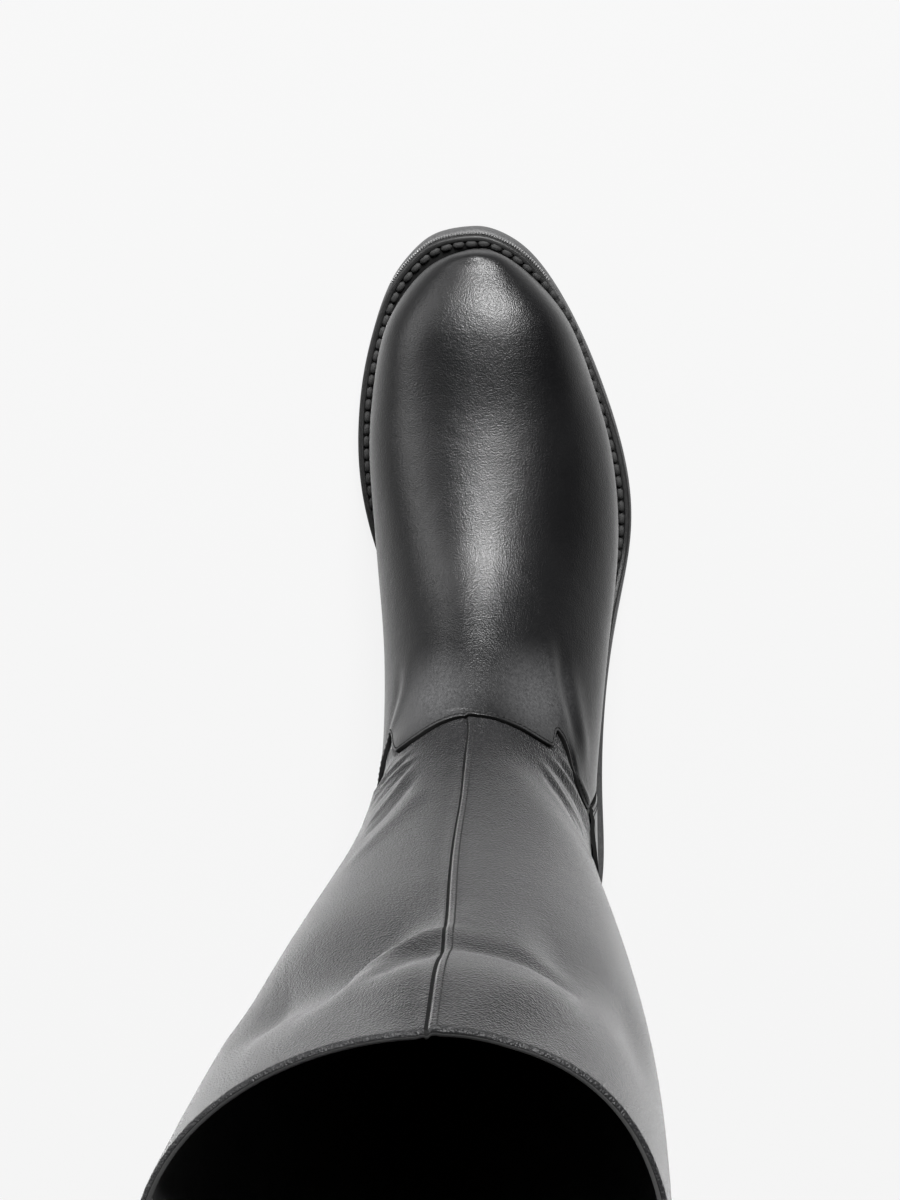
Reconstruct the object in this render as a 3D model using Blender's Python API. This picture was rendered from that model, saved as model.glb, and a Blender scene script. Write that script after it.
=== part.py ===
"""Pull-on riding boot for the right foot, in the photo's upright pose.

A hollow upper of foot and shaft in one wall, with a vamp and a counter laid over it, a raised front
seam, and a welted sole with a block heel. Sizes are in millimetres, measured from the back of the
sole (x, towards the toe), the heel's middle (y, towards the inner side) and the floor (z).
"""
import math

import bmesh
import bpy
import numpy as np

MM = 0.001

# main sizes
SOLE_LENGTH = 285.0
HEEL_HEIGHT = 24.0
HEEL_LENGTH = 84.0
TOE_SPRING = 11.0
OUTSOLE_THICK = 7.0
WELT_THICK = 3.2
WALL = 2.4
GAP = 0.4
OVERLAY = 1.4
JOINT_GAP = 0.3

# the outsole's underside from the side
SHANK_START = 88.0
SHANK_END = 172.0
SPRING_START = 200.0
SPRING_POWER = 2.3

# heights square to the underside
SEAT = 8.4
WELT_BASE = OUTSOLE_THICK + JOINT_GAP
WELT_TOP = WELT_BASE + WELT_THICK
INSOLE_BASE = OUTSOLE_THICK + JOINT_GAP
INSOLE_THICK = 3.8

# the frame's origin is the middle of the heel's rest face
ORIGIN_X = 42.0

# One row for each section of the upper, toe to collar. A section lies in the plane through its base
# point and its top point. On the foot base_x is a place along the sole and base_z is None; from the
# heel on they are the section's lowest or hindmost point, which may lie below the sole and is then cut
# off there. Where top_z is None, top_x is the ridge's height square to the sole. inside and outside
# are the widest places on each side, ridge is the top's sideways place, widest the widest place as a
# share of the section, full_in, full_out and root how square it is on each side above that and below
# it, turn how far in degrees a foot section has turned under where it meets the sole.
SECTION_COLUMNS = (
    "name", "base_x", "base_z", "top_x", "top_z",
    "inside", "outside", "ridge", "widest", "full_in", "full_out", "root", "turn",
)
SECTIONS = (
    ("toe tip", 276.4, None, 0.0, None, 4.8, 4.8, 4.8, 0.30, 0.10, 0.10, 0.0, 22),
    ("toe wall", 275.8, None, 274.0, 37.2, 9.4, 0.0, 4.8, 0.31, 0.36, 0.44, 0.0, 22),
    ("toe", 270.6, None, 269.6, 41.2, 21.2, -8.6, 5.2, 0.32, 0.38, 0.46, 0.0, 21),
    ("toe box", 259.5, None, 257.5, 46.4, 32.0, -19.9, 5.6, 0.32, 0.34, 0.44, 0.0, 20),
    ("toe crown", 245.0, None, 243.6, 50.3, 39.2, -28.6, 5.8, 0.31, 0.24, 0.32, 0.0, 20),
    ("forefoot", 226.0, None, 44.2, None, 43.3, -35.1, 6.0, 0.29, 0.10, 0.16, 0.0, 20),
    ("ball", 203.0, None, 49.3, None, 45.3, -40.8, 6.2, 0.27, 0.04, 0.04, 0.0, 21),
    ("vamp", 178.0, None, 178.0, 65.8, 44.3, -43.4, 6.4, 0.26, -0.06, -0.06, 0.0, 22),
    ("waist", 152.0, None, 156.0, 77.2, 42.5, -42.4, 6.4, 0.27, -0.15, -0.15, 0.0, 25),
    ("instep", 124.0, None, 134.0, 95.2, 39.7, -39.2, 6.6, 0.30, -0.17, -0.20, 0.0, 27),
    ("throat", 92.0, None, 120.5, 109.0, 39.2, -36.0, 6.6, 0.34, -0.06, -0.20, 0.0, 27),
    ("heel front", 42.0, -2.0, 115.0, 115.4, 40.0, -34.2, 5.6, 0.56, 0.20, -0.16, 0.06, None),
    ("heel seat", 13.0, 12.0, 111.5, 120.8, 41.6, -34.0, 5.6, 0.53, 0.33, -0.12, 0.16, None),
    ("heel back", 2.5, 32.4, 108.5, 127.0, 45.2, -34.4, 5.6, 0.49, 0.36, -0.06, 0.12, None),
    ("counter", -0.5, 58.0, 106.0, 134.5, 47.6, -35.6, 5.6, 0.48, 0.30, 0.03, 0.08, None),
    ("ankle", 5.0, 96.0, 102.8, 148.0, 49.3, -37.8, 5.4, 0.50, 0.19, 0.11, 0.04, None),
    ("lower leg", 5.5, 138.0, 99.8, 170.0, 52.7, -42.0, 5.0, 0.50, 0.13, 0.15, 0.03, None),
    ("leg", -2.0, 190.0, 97.2, 206.0, 58.8, -48.4, 4.3, 0.50, 0.09, 0.12, 0.03, None),
    ("calf", -12.0, 252.0, 96.0, 258.0, 65.2, -54.8, 1.9, 0.50, 0.08, 0.09, 0.04, None),
    ("upper calf", -18.5, 320.0, 96.3, 321.0, 70.4, -58.8, -1.4, 0.50, 0.07, 0.07, 0.04, None),
    ("collar", -20.0, 400.0, 98.0, 400.0, 71.6, -60.4, -3.5, 0.50, 0.06, 0.06, 0.04, None),
)
# the row from which sections close round the heel, and how far the toe wall leans at its top
HEEL_ROW = 13
TOE_FRONT_LEAN = 0.0
COLLAR_ROW = len(SECTIONS) - 1

# the sole's outline from below, toe to heel: name, x, inside, outside
SOLE = (
    ("tip", 285.0, 6.0, 6.0),
    ("toe", 283.0, 20.0, -2.6),
    ("toe side", 276.8, 29.4, -12.2),
    ("toe corner", 266.0, 38.2, -21.0),
    ("crown", 250.0, 45.0, -29.8),
    ("forefoot", 228.0, 50.8, -38.8),
    ("ball", 202.0, 53.3, -46.6),
    ("tread", 178.0, 51.2, -50.0),
    ("waist front", 155.0, 45.8, -48.0),
    ("waist", 130.0, 41.2, -42.8),
    ("waist back", 102.0, 38.8, -38.8),
    ("heel breast", 70.0, 39.4, -37.4),
    ("heel", 38.0, 38.8, -36.8),
    ("heel curve", 14.0, 30.4, -28.2),
    ("heel end", 3.0, 16.6, -14.0),
    ("back", 0.0, 1.4, 1.4),
)

# edge of the vamp, inside to outside: place across in shares of the section, place along in rows
VAMP_EDGE = (
    (0.000, 12.00),
    (0.230, 12.00),
    (0.262, 11.90),
    (0.282, 11.45),
    (0.294, 10.62),
    (0.308, 10.33),
    (0.330, 10.63),
    (0.385, 11.70),
    (0.404, 11.62),
    (0.423, 11.32),
    (0.447, 10.83),
    (0.475, 10.48),
    (0.500, 10.38),
    (0.537, 10.45),
    (0.576, 10.75),
    (0.614, 11.04),
    (0.644, 11.12),
    (0.661, 10.38),
    (0.676, 10.60),
    (0.693, 11.10),
    (0.700, 11.60),
    (0.731, 11.90),
    (0.770, 12.00),
    (1.000, 12.00),
)
VAMP_LINES = (0.282, 0.294, 0.330, 0.644, 0.661, 0.676)
VAMP_BACK = 78.0
COUNTER_FRONT = 77.5
# two places on the counter's top edge: x, z
COUNTER_TOP = ((0.0, 92.0), (77.5, 80.0))
COUNTER_LIFT = 0.4

# rows of the vamp's sheet below its edge, and the counter's share of the rows and columns
VAMP_EVEN_END = 10.1
VAMP_SHARES = (0.3, 0.65, 1.0)
COUNTER_ROWS = (10, 16)
COUNTER_COLUMNS_WIDE = 10

# the front seam's cord, in rows of the upper
SEAM_RADIUS = 0.8
SEAM_START = 10.75
SEAM_END_GAP = 0.05
SEAM_STEPS = 24

# faces across the upper, and rows along it: from, to, how many
ACROSS = 26
STATION_SPANS = ((0, 4, 12), (4, 9, 9), (9, 12, 6), (HEEL_ROW, 15, 5), (15, COLLAR_ROW, 8))
HEEL_STATIONS = 6

# outsole and insole: height and inset of each level, sections along the sole
OUTSOLE_LEVELS = ((0.0, 0.8), (0.8, 0.0), (OUTSOLE_THICK, 0.0))
OUTSOLE_STEPS = 56
INSOLE_CLEAR = 2.0
INSOLE_STEPS = 40

# welt: where its two ends lie along the sole, how far its root is off the upper's lower edge, and the
# outsole's lip in front of it round the toe
WELT_ENDS = (134.0, 116.0)
WELT_ROOT = 3.6
WELT_INSET = 0.4
LIP_START = 252.0
LIP_WIDE = 0.6
WELT_BEVEL_WIDE = 0.12
WELT_BEVEL_HIGH = 0.7
WELT_STEPS = 44

# heel: height and inset of each level, the breast's hollow and lean
HEEL_LEVELS = (
    (0.0, 3.6),
    (0.8, 2.8),
    (6.0, 2.4),
    (6.4, 2.9),
    (7.0, 2.3),
    (HEEL_HEIGHT - JOINT_GAP, 0.9),
)
BREAST_CURVE = 5.0
BREAST_LEAN = 0.05
BREAST_STEPS = 9
HEEL_SIDE_STEPS = 19

# how finely curves are followed, and steps for slopes and normals
OUTLINE_STEPS = 480
EDGE_STEPS = 400
ARC_STEPS = 161
SLOPE_STEP = 0.05
NORMAL_STEPS = (0.05, 0.008)
TIP_ROW = 0.2
EDGE_BACK = -20.0
JOIN = 0.00002


def spline(knots, values, query, start=None, end=None):
    """Cubic spline with even curvature, with natural ends or the end slopes that are given."""
    k, y, q = (np.asarray(a, float) for a in (knots, values, query))
    n = len(k)
    h = np.diff(k)
    step = np.diff(y) / h
    a = np.eye(n)
    b = np.zeros(n)
    for i in range(1, n - 1):
        a[i, i - 1 : i + 2] = h[i - 1], 2 * (h[i - 1] + h[i]), h[i]
        b[i] = 6 * (step[i] - step[i - 1])
    if start is not None:
        a[0, :2] = 2 * h[0], h[0]
        b[0] = 6 * (step[0] - start)
    if end is not None:
        a[-1, -2:] = h[-1], 2 * h[-1]
        b[-1] = 6 * (end - step[-1])
    m = np.linalg.solve(a, b)
    i = np.clip(np.searchsorted(k, q, side="right") - 1, 0, n - 2)
    d = q - k[i]
    e = k[i + 1] - q
    curve = (m[i] * e**3 + m[i + 1] * d**3) / (6 * h[i])
    return curve + (y[i] / h[i] - m[i] * h[i] / 6) * e + (y[i + 1] / h[i] - m[i + 1] * h[i] / 6) * d


def underside(x):
    """Height of the outsole's underside above the floor."""
    x = np.asarray(x, float)
    t = np.clip((x - SHANK_START) / (SHANK_END - SHANK_START), 0, 1)
    heel = HEEL_HEIGHT * (1 - t**3 * (10 - 15 * t + 6 * t * t))
    toe = np.clip((x - SPRING_START) / (SOLE_LENGTH - SPRING_START), 0, None)
    return heel + TOE_SPRING * toe**SPRING_POWER


def tilt(x):
    """Slope angle of the underside."""
    x = np.asarray(x, float)
    return np.arctan((underside(x + SLOPE_STEP) - underside(x - SLOPE_STEP)) / (2 * SLOPE_STEP))


def on_sole(x, y, height):
    """Points at a height square to the underside."""
    x = np.asarray(x, float)
    a = tilt(x)
    y = np.broadcast_to(np.asarray(y, float), x.shape)
    return np.stack([x - height * np.sin(a), y, underside(x) + height * np.cos(a)], -1)


def section_table():
    """The section rows by column, with every base point at the section's lowest place."""
    rows = []
    for row in SECTIONS:
        r = dict(zip(SECTION_COLUMNS, row))
        if r["top_z"] is None:
            r["top_x"], _, r["top_z"] = on_sole(r["base_x"], 0.0, SEAT + r["top_x"])
        if r["base_z"] is None:
            r["base_x"], _, r["base_z"] = on_sole(r["base_x"], 0.0, SEAT)
            way = np.array([r["top_x"] - r["base_x"], r["top_z"] - r["base_z"]])
            deep = r["widest"] / math.sin(math.radians(r["turn"]))
            below = deep - r["widest"]
            r["base_x"], r["base_z"] = (r["base_x"], r["base_z"]) - below * way
            r["widest"] = deep / (1 + below)
        rows.append(r)
    return {name: [r[name] for r in rows] for name in SECTION_COLUMNS[1:-1]}


def sections_at(u):
    """Smooth section sizes at places between the rows."""
    table = section_table()
    k = np.arange(len(SECTIONS))
    out = {name: spline(k, column, u) for name, column in table.items()}
    square = -math.tan(tilt(SECTIONS[0][1]))
    for x, z, lean in (("base_x", "base_z", square), ("top_x", "top_z", TOE_FRONT_LEAN)):
        rise = spline(k, table[z], [0.0, 0.001])
        out[x] = spline(k, table[x], u, lean * (rise[1] - rise[0]) / 0.001)
    return out


def feather_height(x):
    """Height of the upper's lower edge above the floor."""
    edge = on_sole(np.linspace(EDGE_BACK, SOLE_LENGTH, EDGE_STEPS), 0.0, SEAT)
    return np.interp(x, edge[:, 0], edge[:, 2])


def cut_share(r):
    """Share of a section that the sole cuts off, from its base point."""
    low, high = np.zeros_like(r["base_x"]), np.ones_like(r["base_x"])
    for _ in range(30):
        t = (low + high) / 2
        x = r["base_x"] + t * (r["top_x"] - r["base_x"])
        z = r["base_z"] + t * (r["top_z"] - r["base_z"])
        under = z < feather_height(x)
        low, high = np.where(under, t, low), np.where(under, high, t)
    return low


def outer(u, v):
    """Points of the upper's outer face: u counts rows, v is 0 inside, 0.5 at the ridge, 1 outside."""
    u, v = np.broadcast_arrays(np.asarray(u, float), np.asarray(v, float))
    shape = u.shape
    rows, back = np.unique(u.ravel(), return_inverse=True)
    v = v.ravel()
    r = sections_at(rows)
    cut = np.where(rows >= HEEL_ROW, 0.0, cut_share(r))
    r = {name: col[:, None] for name, col in r.items()}
    half = (r["inside"] - r["outside"]) / 2
    mid = (r["inside"] + r["outside"]) / 2
    span = np.hypot(r["top_x"] - r["base_x"], r["top_z"] - r["base_z"])
    start = np.arcsin(np.clip(cut[:, None] / r["widest"] - 1, -1, 0))
    phi = start + np.linspace(0, 1, ARC_STEPS) * (math.pi / 2 - start)
    s = np.sin(phi)
    above = phi > 0
    share = r["widest"] + np.where(above, 1 - r["widest"], r["widest"]) * s
    lean = np.where(above, (r["ridge"] - mid) * s * s, 0)
    base_x, base_z, top_x, top_z = (r[name][back, 0] for name in ("base_x", "base_z", "top_x", "top_z"))
    points = np.zeros((len(v), 3))
    for full, way, here in (("full_in", 1, v <= 0.5), ("full_out", -1, v > 0.5)):
        wide = half * np.cos(phi) * (1 + np.where(above, r[full], r["root"]) * s * s)
        arc = np.zeros_like(share)
        arc[:, 1:] = np.cumsum(np.hypot(np.diff(share) * span, np.diff(wide)), 1)
        n = back[here]
        goal = arc[n, -1] * (1 - np.abs(2 * v[here] - 1))
        i = np.clip((arc[n] < goal[:, None]).sum(1), 1, arc.shape[1] - 1)
        f = (goal - arc[n, i - 1]) / np.maximum(arc[n, i] - arc[n, i - 1], 1e-9)
        a, w, t = (q[n, i - 1] * (1 - f) + q[n, i] * f for q in (share, wide, lean))
        x = base_x[here] + a * (top_x - base_x)[here]
        z = base_z[here] + a * (top_z - base_z)[here]
        points[here] = np.stack([x, mid[n, 0] + t + way * w, z], -1)
    return points.reshape(shape + (3,))


def outward(u, v):
    """Unit normals of the outer face, from the ring of places round each one."""
    u, v = np.broadcast_arrays(np.asarray(u, float), np.asarray(v, float))
    ring = ((1, 0), (1, 1), (0, 1), (-1, 1), (-1, 0), (-1, -1), (0, -1), (1, -1))
    arms = []
    for step_u, step_v in ring:
        near_u = np.clip(u + NORMAL_STEPS[0] * step_u, 0, COLLAR_ROW)
        near_v = v + NORMAL_STEPS[1] * step_v
        near_v = np.where(near_u >= HEEL_ROW, near_v % 1.0, np.clip(near_v, 0, 1))
        arms.append(outer(near_u, near_v) - outer(u, v))
    n = sum(np.cross(arms[i - 1], arms[i]) for i in range(len(arms)))
    tip = u < 0.001
    if tip.any():
        n[tip] = outward(np.full(9, TIP_ROW), np.linspace(0, 1, 9)).mean(0)
    return n / np.maximum(np.linalg.norm(n, axis=-1, keepdims=True), 1e-9)


def raised(u, v, height):
    """Points at a height off the outer face."""
    return outer(u, v) + height * outward(u, v)


def stations():
    """Places along the upper with a section, close together at the toe and the heel's back."""
    places = [np.linspace(start, end, count, endpoint=False) for start, end, count in STATION_SPANS]
    heel = HEEL_ROW - np.linspace(1, 0, HEEL_STATIONS, endpoint=False) ** 2
    return np.sort(np.concatenate(places + [heel, [COLLAR_ROW]]))


def sole_outline():
    """Close places on the sole's edge, toe to heel: inside and outside."""
    k = np.arange(len(SOLE))
    q = np.linspace(0, len(SOLE) - 1, OUTLINE_STEPS)
    x, inside, outside = ([row[c] for row in SOLE] for c in (1, 2, 3))
    x = spline(k, x, q, 0.0, 0.0)
    return np.stack([x, spline(k, inside, q)], -1), np.stack([x, spline(k, outside, q)], -1)


def feather_outline():
    """Close places where the upper meets the sole, toe to heel: inside and outside."""
    place = np.linspace(EDGE_BACK, SOLE_LENGTH, EDGE_STEPS)
    edge = on_sole(place, 0.0, SEAT)
    u = np.linspace(0, HEEL_ROW, OUTLINE_STEPS)
    sides = []
    for v in (0.0, 1.0):
        points = outer(u, v)
        sides.append(np.stack([np.interp(points[:, 0], edge[:, 0], place), points[:, 1]], -1))
    return sides


def toe_share(x):
    """How far a place along the sole is into the toe's lip, from 0 to 1."""
    t = np.clip((x - LIP_START) / (SOLE_LENGTH - LIP_START), 0, 1)
    return t * t * (3 - 2 * t)


def grown(sides, distance, at_toe=0.0):
    """An outline moved outward by a distance, and by more or less at the toe."""
    inside, outside = sides
    loop = np.concatenate([inside, outside[-2:0:-1]])
    distance = (distance + at_toe * toe_share(loop[:, 0]))[:, None]
    way = np.roll(loop, -1, 0) - np.roll(loop, 1, 0)
    way /= np.linalg.norm(way, axis=1, keepdims=True)
    loop = loop + distance * np.stack([way[:, 1], -way[:, 0]], -1)
    n = len(inside)
    return loop[:n], np.concatenate([loop[:1], loop[: n - 2 : -1]])


def across_at(sides, x):
    """Both sides of an outline at places along the sole."""
    return [np.interp(-x, -side[:, 0], side[:, 1]) for side in sides]


def material(name, colour, rough):
    mat = bpy.data.materials.new(name)
    mat.use_nodes = True
    shader = mat.node_tree.nodes["Principled BSDF"]
    shader.inputs["Base Color"].default_value = (*colour, 1)
    shader.inputs["Roughness"].default_value = rough
    return mat


def solid(name, points, faces, mat):
    """A named object of points in millimetres, with doubled points joined and faces turned outward."""
    mesh = bpy.data.meshes.new(name)
    shift = np.array([ORIGIN_X, 0.0, 0.0])
    mesh.from_pydata(((np.asarray(points) - shift) * MM).tolist(), [], faces)
    work = bmesh.new()
    work.from_mesh(mesh)
    bmesh.ops.remove_doubles(work, verts=work.verts, dist=JOIN)
    bmesh.ops.recalc_face_normals(work, faces=work.faces)
    work.to_mesh(mesh)
    work.free()
    obj = bpy.data.objects.new(name, mesh)
    obj.data.materials.append(mat)
    boot.objects.link(obj)
    return obj


def sheet_faces(rows, columns, middle):
    """Triangles of a sheet, split alike on both sides of its middle column."""
    faces = []
    for i in range(rows - 1):
        for j in range(columns - 1):
            a, d = i * columns + j, i * columns + j + 1
            b, c = a + columns, d + columns
            faces += [(a, b, c), (a, c, d)] if j < middle else [(a, b, d), (b, c, d)]
    return faces


def shell(name, u, v, faces, low, high, mat):
    """A wall between two heights off the outer face, closed along the edges of its sheet of faces."""
    top = raised(u, v, high).reshape(-1, 3)
    floor = raised(u, v, low).reshape(-1, 3)
    first = {}
    same = [first.setdefault(tuple(np.round(point, 3)), i) for i, point in enumerate(top)]
    sheet = []
    for face in faces:
        ring = list(dict.fromkeys(same[i] for i in face))
        if len(ring) > 2:
            sheet.append(ring)
    ways = {(ring[i - 1], ring[i]) for ring in sheet for i in range(len(ring))}
    n = len(top)
    walls = [[i + n for i in ring[::-1]] for ring in sheet]
    walls += [[b, a, a + n, b + n] for a, b in sorted(ways) if (b, a) not in ways]
    return solid(name, np.concatenate([top, floor]), sheet + walls, mat)


def ring_faces(sections, corners, closed):
    """Faces of a tube of sections with the same number of corners."""
    faces = []
    for i in range(sections if closed else sections - 1):
        for j in range(corners):
            a, b = i * corners, (i + 1) % sections * corners
            k = (j + 1) % corners
            faces.append((a + j, a + k, b + k, b + j))
    if not closed:
        faces.append(tuple(range(corners))[::-1])
        faces.append(tuple(range((sections - 1) * corners, sections * corners)))
    return faces


def build_upper():
    u = stations()[:, None]
    v = np.linspace(0, 1, ACROSS + 1)[None, :]
    u, v = np.broadcast_arrays(u, v)
    return shell("upper", u, v, sheet_faces(*u.shape, ACROSS // 2), -WALL, 0.0, leather)


def keep(obj, place, way):
    """Cut a body along a plane across the boot and keep what lies against the way."""
    work = bmesh.new()
    work.from_mesh(obj.data)
    spot = ((place[0] - ORIGIN_X) * MM, 0, place[1] * MM)
    square = (way[0], 0, way[1])
    geometry = work.verts[:] + work.edges[:] + work.faces[:]
    bmesh.ops.bisect_plane(work, geom=geometry, dist=1e-7, plane_co=spot, plane_no=square, clear_outer=True)
    bmesh.ops.holes_fill(work, edges=[e for e in work.edges if e.is_boundary], sides=0)
    bmesh.ops.recalc_face_normals(work, faces=work.faces)
    work.to_mesh(obj.data)
    work.free()
    return obj


def build_vamp():
    v = np.sort(np.concatenate([np.linspace(0, 1, ACROSS + 1), VAMP_LINES]))
    edge = np.interp(v, *zip(*VAMP_EDGE))
    common = stations()
    common = common[common < VAMP_EVEN_END]
    rows = [np.full(len(v), u) for u in common]
    for share in VAMP_SHARES:
        rows.append(common[-1] + (edge - common[-1]) * share)
    u = np.array(rows)
    v = np.broadcast_to(v, u.shape)
    obj = shell("vamp", u, v, sheet_faces(*u.shape, u.shape[1] // 2), GAP, GAP + OVERLAY, leather)
    return keep(obj, (VAMP_BACK, 0.0), (-1, 0))


def build_counter():
    u = stations()
    u = u[(u > COUNTER_ROWS[0]) & (u < COUNTER_ROWS[1])]
    v = np.arange(COUNTER_COLUMNS_WIDE) / ACROSS
    half = (len(u), len(v))
    faces = sheet_faces(*half, half[1])
    faces += [tuple(len(u) * len(v) + i for i in face[::-1]) for face in faces]
    u = np.concatenate([np.broadcast_to(u[:, None], half)] * 2)
    v = np.concatenate([np.broadcast_to(v, half), np.broadcast_to(1 - v, half)])
    low = GAP + COUNTER_LIFT
    obj = shell("counter", u, v, faces, low, low + OVERLAY, leather)
    start, end = COUNTER_TOP
    keep(obj, start, (start[1] - end[1], end[0] - start[0]))
    return keep(obj, (COUNTER_FRONT, 0.0), (1, 0))


def build_front_seam():
    u = np.linspace(SEAM_START, COLLAR_ROW - SEAM_END_GAP, SEAM_STEPS)
    centre = raised(u, 0.5, GAP + SEAM_RADIUS)
    curve = bpy.data.curves.new("front_seam", "CURVE")
    curve.dimensions = "3D"
    line = curve.splines.new("POLY")
    line.points.add(len(centre) - 1)
    for point, place in zip(line.points, centre):
        x, y, z = (place - np.array([ORIGIN_X, 0, 0])) * MM
        point.co = (x, y, z, 1)
    curve.bevel_depth = SEAM_RADIUS * MM
    curve.bevel_resolution = 1
    curve.use_fill_caps = True
    obj = bpy.data.objects.new("front_seam", curve)
    curve.materials.append(leather)
    boot.objects.link(obj)
    return obj


def plate(name, sides, count, levels, mat):
    """A plate that follows the sole's bend: levels are (height, inset) rows from below."""
    ease = (1 - np.cos(np.linspace(0, math.pi, count))) / 2
    lines = []
    for height, inset in levels:
        edge = grown(sides, -inset)
        x = edge[0][-1, 0] + (edge[0][0, 0] - edge[0][-1, 0]) * ease
        lines.append([on_sole(x, y, height) for y in across_at(edge, x)])
    corners = [line[0] for line in lines] + [line[1] for line in lines[::-1]]
    points = np.stack(corners, 1).reshape(-1, 3)
    return solid(name, points, ring_faces(count, len(corners), False), mat)


def build_outsole():
    return plate("outsole", sole_outline(), OUTSOLE_STEPS, OUTSOLE_LEVELS, rubber)


def build_insole():
    levels = ((INSOLE_BASE, 0.0), (INSOLE_BASE + INSOLE_THICK, 0.0))
    edge = grown(feather_outline(), -(WALL + INSOLE_CLEAR))
    return plate("insole", edge, INSOLE_STEPS, levels, lining)


def by_length(side, count, end):
    """A side's outline from the toe to a place along the sole, shared out evenly."""
    step = np.concatenate([[0], np.cumsum(np.linalg.norm(np.diff(side, axis=0), axis=1))])
    goal = np.linspace(0, np.interp(-end, -side[:, 0], step), count)
    return np.stack([np.interp(goal, step, side[:, c]) for c in (0, 1)], -1)


def build_welt():
    """A strip from the inside waist round the toe to the outside waist."""
    rim = grown(sole_outline(), -WELT_INSET, -LIP_WIDE)
    root = np.concatenate(grown(feather_outline(), WELT_ROOT))
    ways = [by_length(side, WELT_STEPS, end) for side, end in zip(rim, WELT_ENDS)]
    far = np.concatenate([ways[0][::-1], ways[1][1:]])
    near = np.array([root[np.argmin(np.linalg.norm(root - place, axis=1))] for place in far])
    corners = [
        on_sole(near[:, 0], near[:, 1], WELT_BASE),
        on_sole(near[:, 0], near[:, 1], WELT_TOP),
        on_sole(*(far + (near - far) * WELT_BEVEL_WIDE).T, WELT_TOP),
        on_sole(far[:, 0], far[:, 1], WELT_TOP - WELT_BEVEL_HIGH),
        on_sole(far[:, 0], far[:, 1], WELT_BASE),
    ]
    points = np.stack(corners, 1).reshape(-1, 3)
    return solid("welt", points, ring_faces(len(near), len(corners), False), rubber)


def build_heel():
    rings = []
    for height, inset in HEEL_LEVELS:
        sides = grown(sole_outline(), -inset)
        ring = []
        for side in sides:
            back = side[::-1]
            step = np.concatenate([[0], np.cumsum(np.linalg.norm(np.diff(back, axis=0), axis=1))])
            reach = np.interp(HEEL_LENGTH - BREAST_LEAN * height, back[:, 0], step)
            goal = np.linspace(0, reach, HEEL_SIDE_STEPS)
            ring.append(np.stack([np.interp(goal, step, back[:, c]) for c in (0, 1)], -1))
        left, right = ring
        share = np.linspace(0, 1, BREAST_STEPS)[1:-1, None]
        breast = right[-1] + (left[-1] - right[-1]) * share
        breast[:, 0] -= BREAST_CURVE * np.sin(math.pi * share[:, 0])
        loop = np.concatenate([right, breast, left[:0:-1]])
        rings.append(np.column_stack([loop, np.full(len(loop), height)]))
    points = np.array(rings)
    return solid("heel", points.reshape(-1, 3), ring_faces(len(rings), points.shape[1], False), rubber)


for old in list(bpy.data.objects):
    bpy.data.objects.remove(old)
boot = bpy.data.collections.new("riding_boot")
bpy.context.scene.collection.children.link(boot)
leather = material("black_leather", (0.018, 0.018, 0.019), 0.38)
rubber = material("black_sole", (0.025, 0.025, 0.026), 0.55)
lining = material("insole_leather", (0.16, 0.11, 0.075), 0.7)

build_outsole()
build_heel()
build_welt()
build_insole()
build_upper()
build_vamp()
build_counter()
build_front_seam()
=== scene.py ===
"""Looks of a tall black riding boot for the right foot: grained leather with its folds, a stitched
vamp and counter, a welted sole, and a plain pale studio.

The shape is worked out from the same sections as the solids. Sizes are in millimetres, measured from the
back of the sole (x, towards the toe), the heel's middle (y, towards the inner side) and the floor (z).
"""
import math

import bmesh
import bpy
import numpy as np
from mathutils import Matrix, Vector
from mathutils.bvhtree import BVHTree


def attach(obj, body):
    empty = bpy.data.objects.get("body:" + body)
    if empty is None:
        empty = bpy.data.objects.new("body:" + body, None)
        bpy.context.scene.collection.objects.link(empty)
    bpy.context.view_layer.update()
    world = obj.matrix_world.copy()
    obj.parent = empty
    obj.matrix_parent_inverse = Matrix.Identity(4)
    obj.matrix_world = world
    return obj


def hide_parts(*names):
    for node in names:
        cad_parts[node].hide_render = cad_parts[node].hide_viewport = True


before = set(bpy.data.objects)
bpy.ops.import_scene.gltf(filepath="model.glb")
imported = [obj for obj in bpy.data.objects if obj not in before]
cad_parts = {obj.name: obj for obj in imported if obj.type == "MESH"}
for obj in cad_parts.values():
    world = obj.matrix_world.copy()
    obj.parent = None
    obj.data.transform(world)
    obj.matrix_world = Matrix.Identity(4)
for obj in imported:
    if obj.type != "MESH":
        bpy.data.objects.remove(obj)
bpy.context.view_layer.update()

scene = bpy.context.scene

MM = 0.001

# main sizes
SOLE_LENGTH = 285.0
HEEL_HEIGHT = 24.0
HEEL_LENGTH = 84.0
TOE_SPRING = 11.0
OUTSOLE_THICK = 7.0
WELT_THICK = 3.2
WALL = 2.4
GAP = 0.4
OVERLAY = 1.4
JOINT_GAP = 0.3

# the outsole's underside from the side
SHANK_START = 88.0
SHANK_END = 172.0
SPRING_START = 200.0
SPRING_POWER = 2.3

# heights square to the underside
SEAT = 8.4
WELT_BASE = OUTSOLE_THICK + JOINT_GAP
WELT_TOP = WELT_BASE + WELT_THICK

# the frame's origin is the middle of the heel's rest face
ORIGIN = (42.0, 0.0, 0.0)

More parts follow.
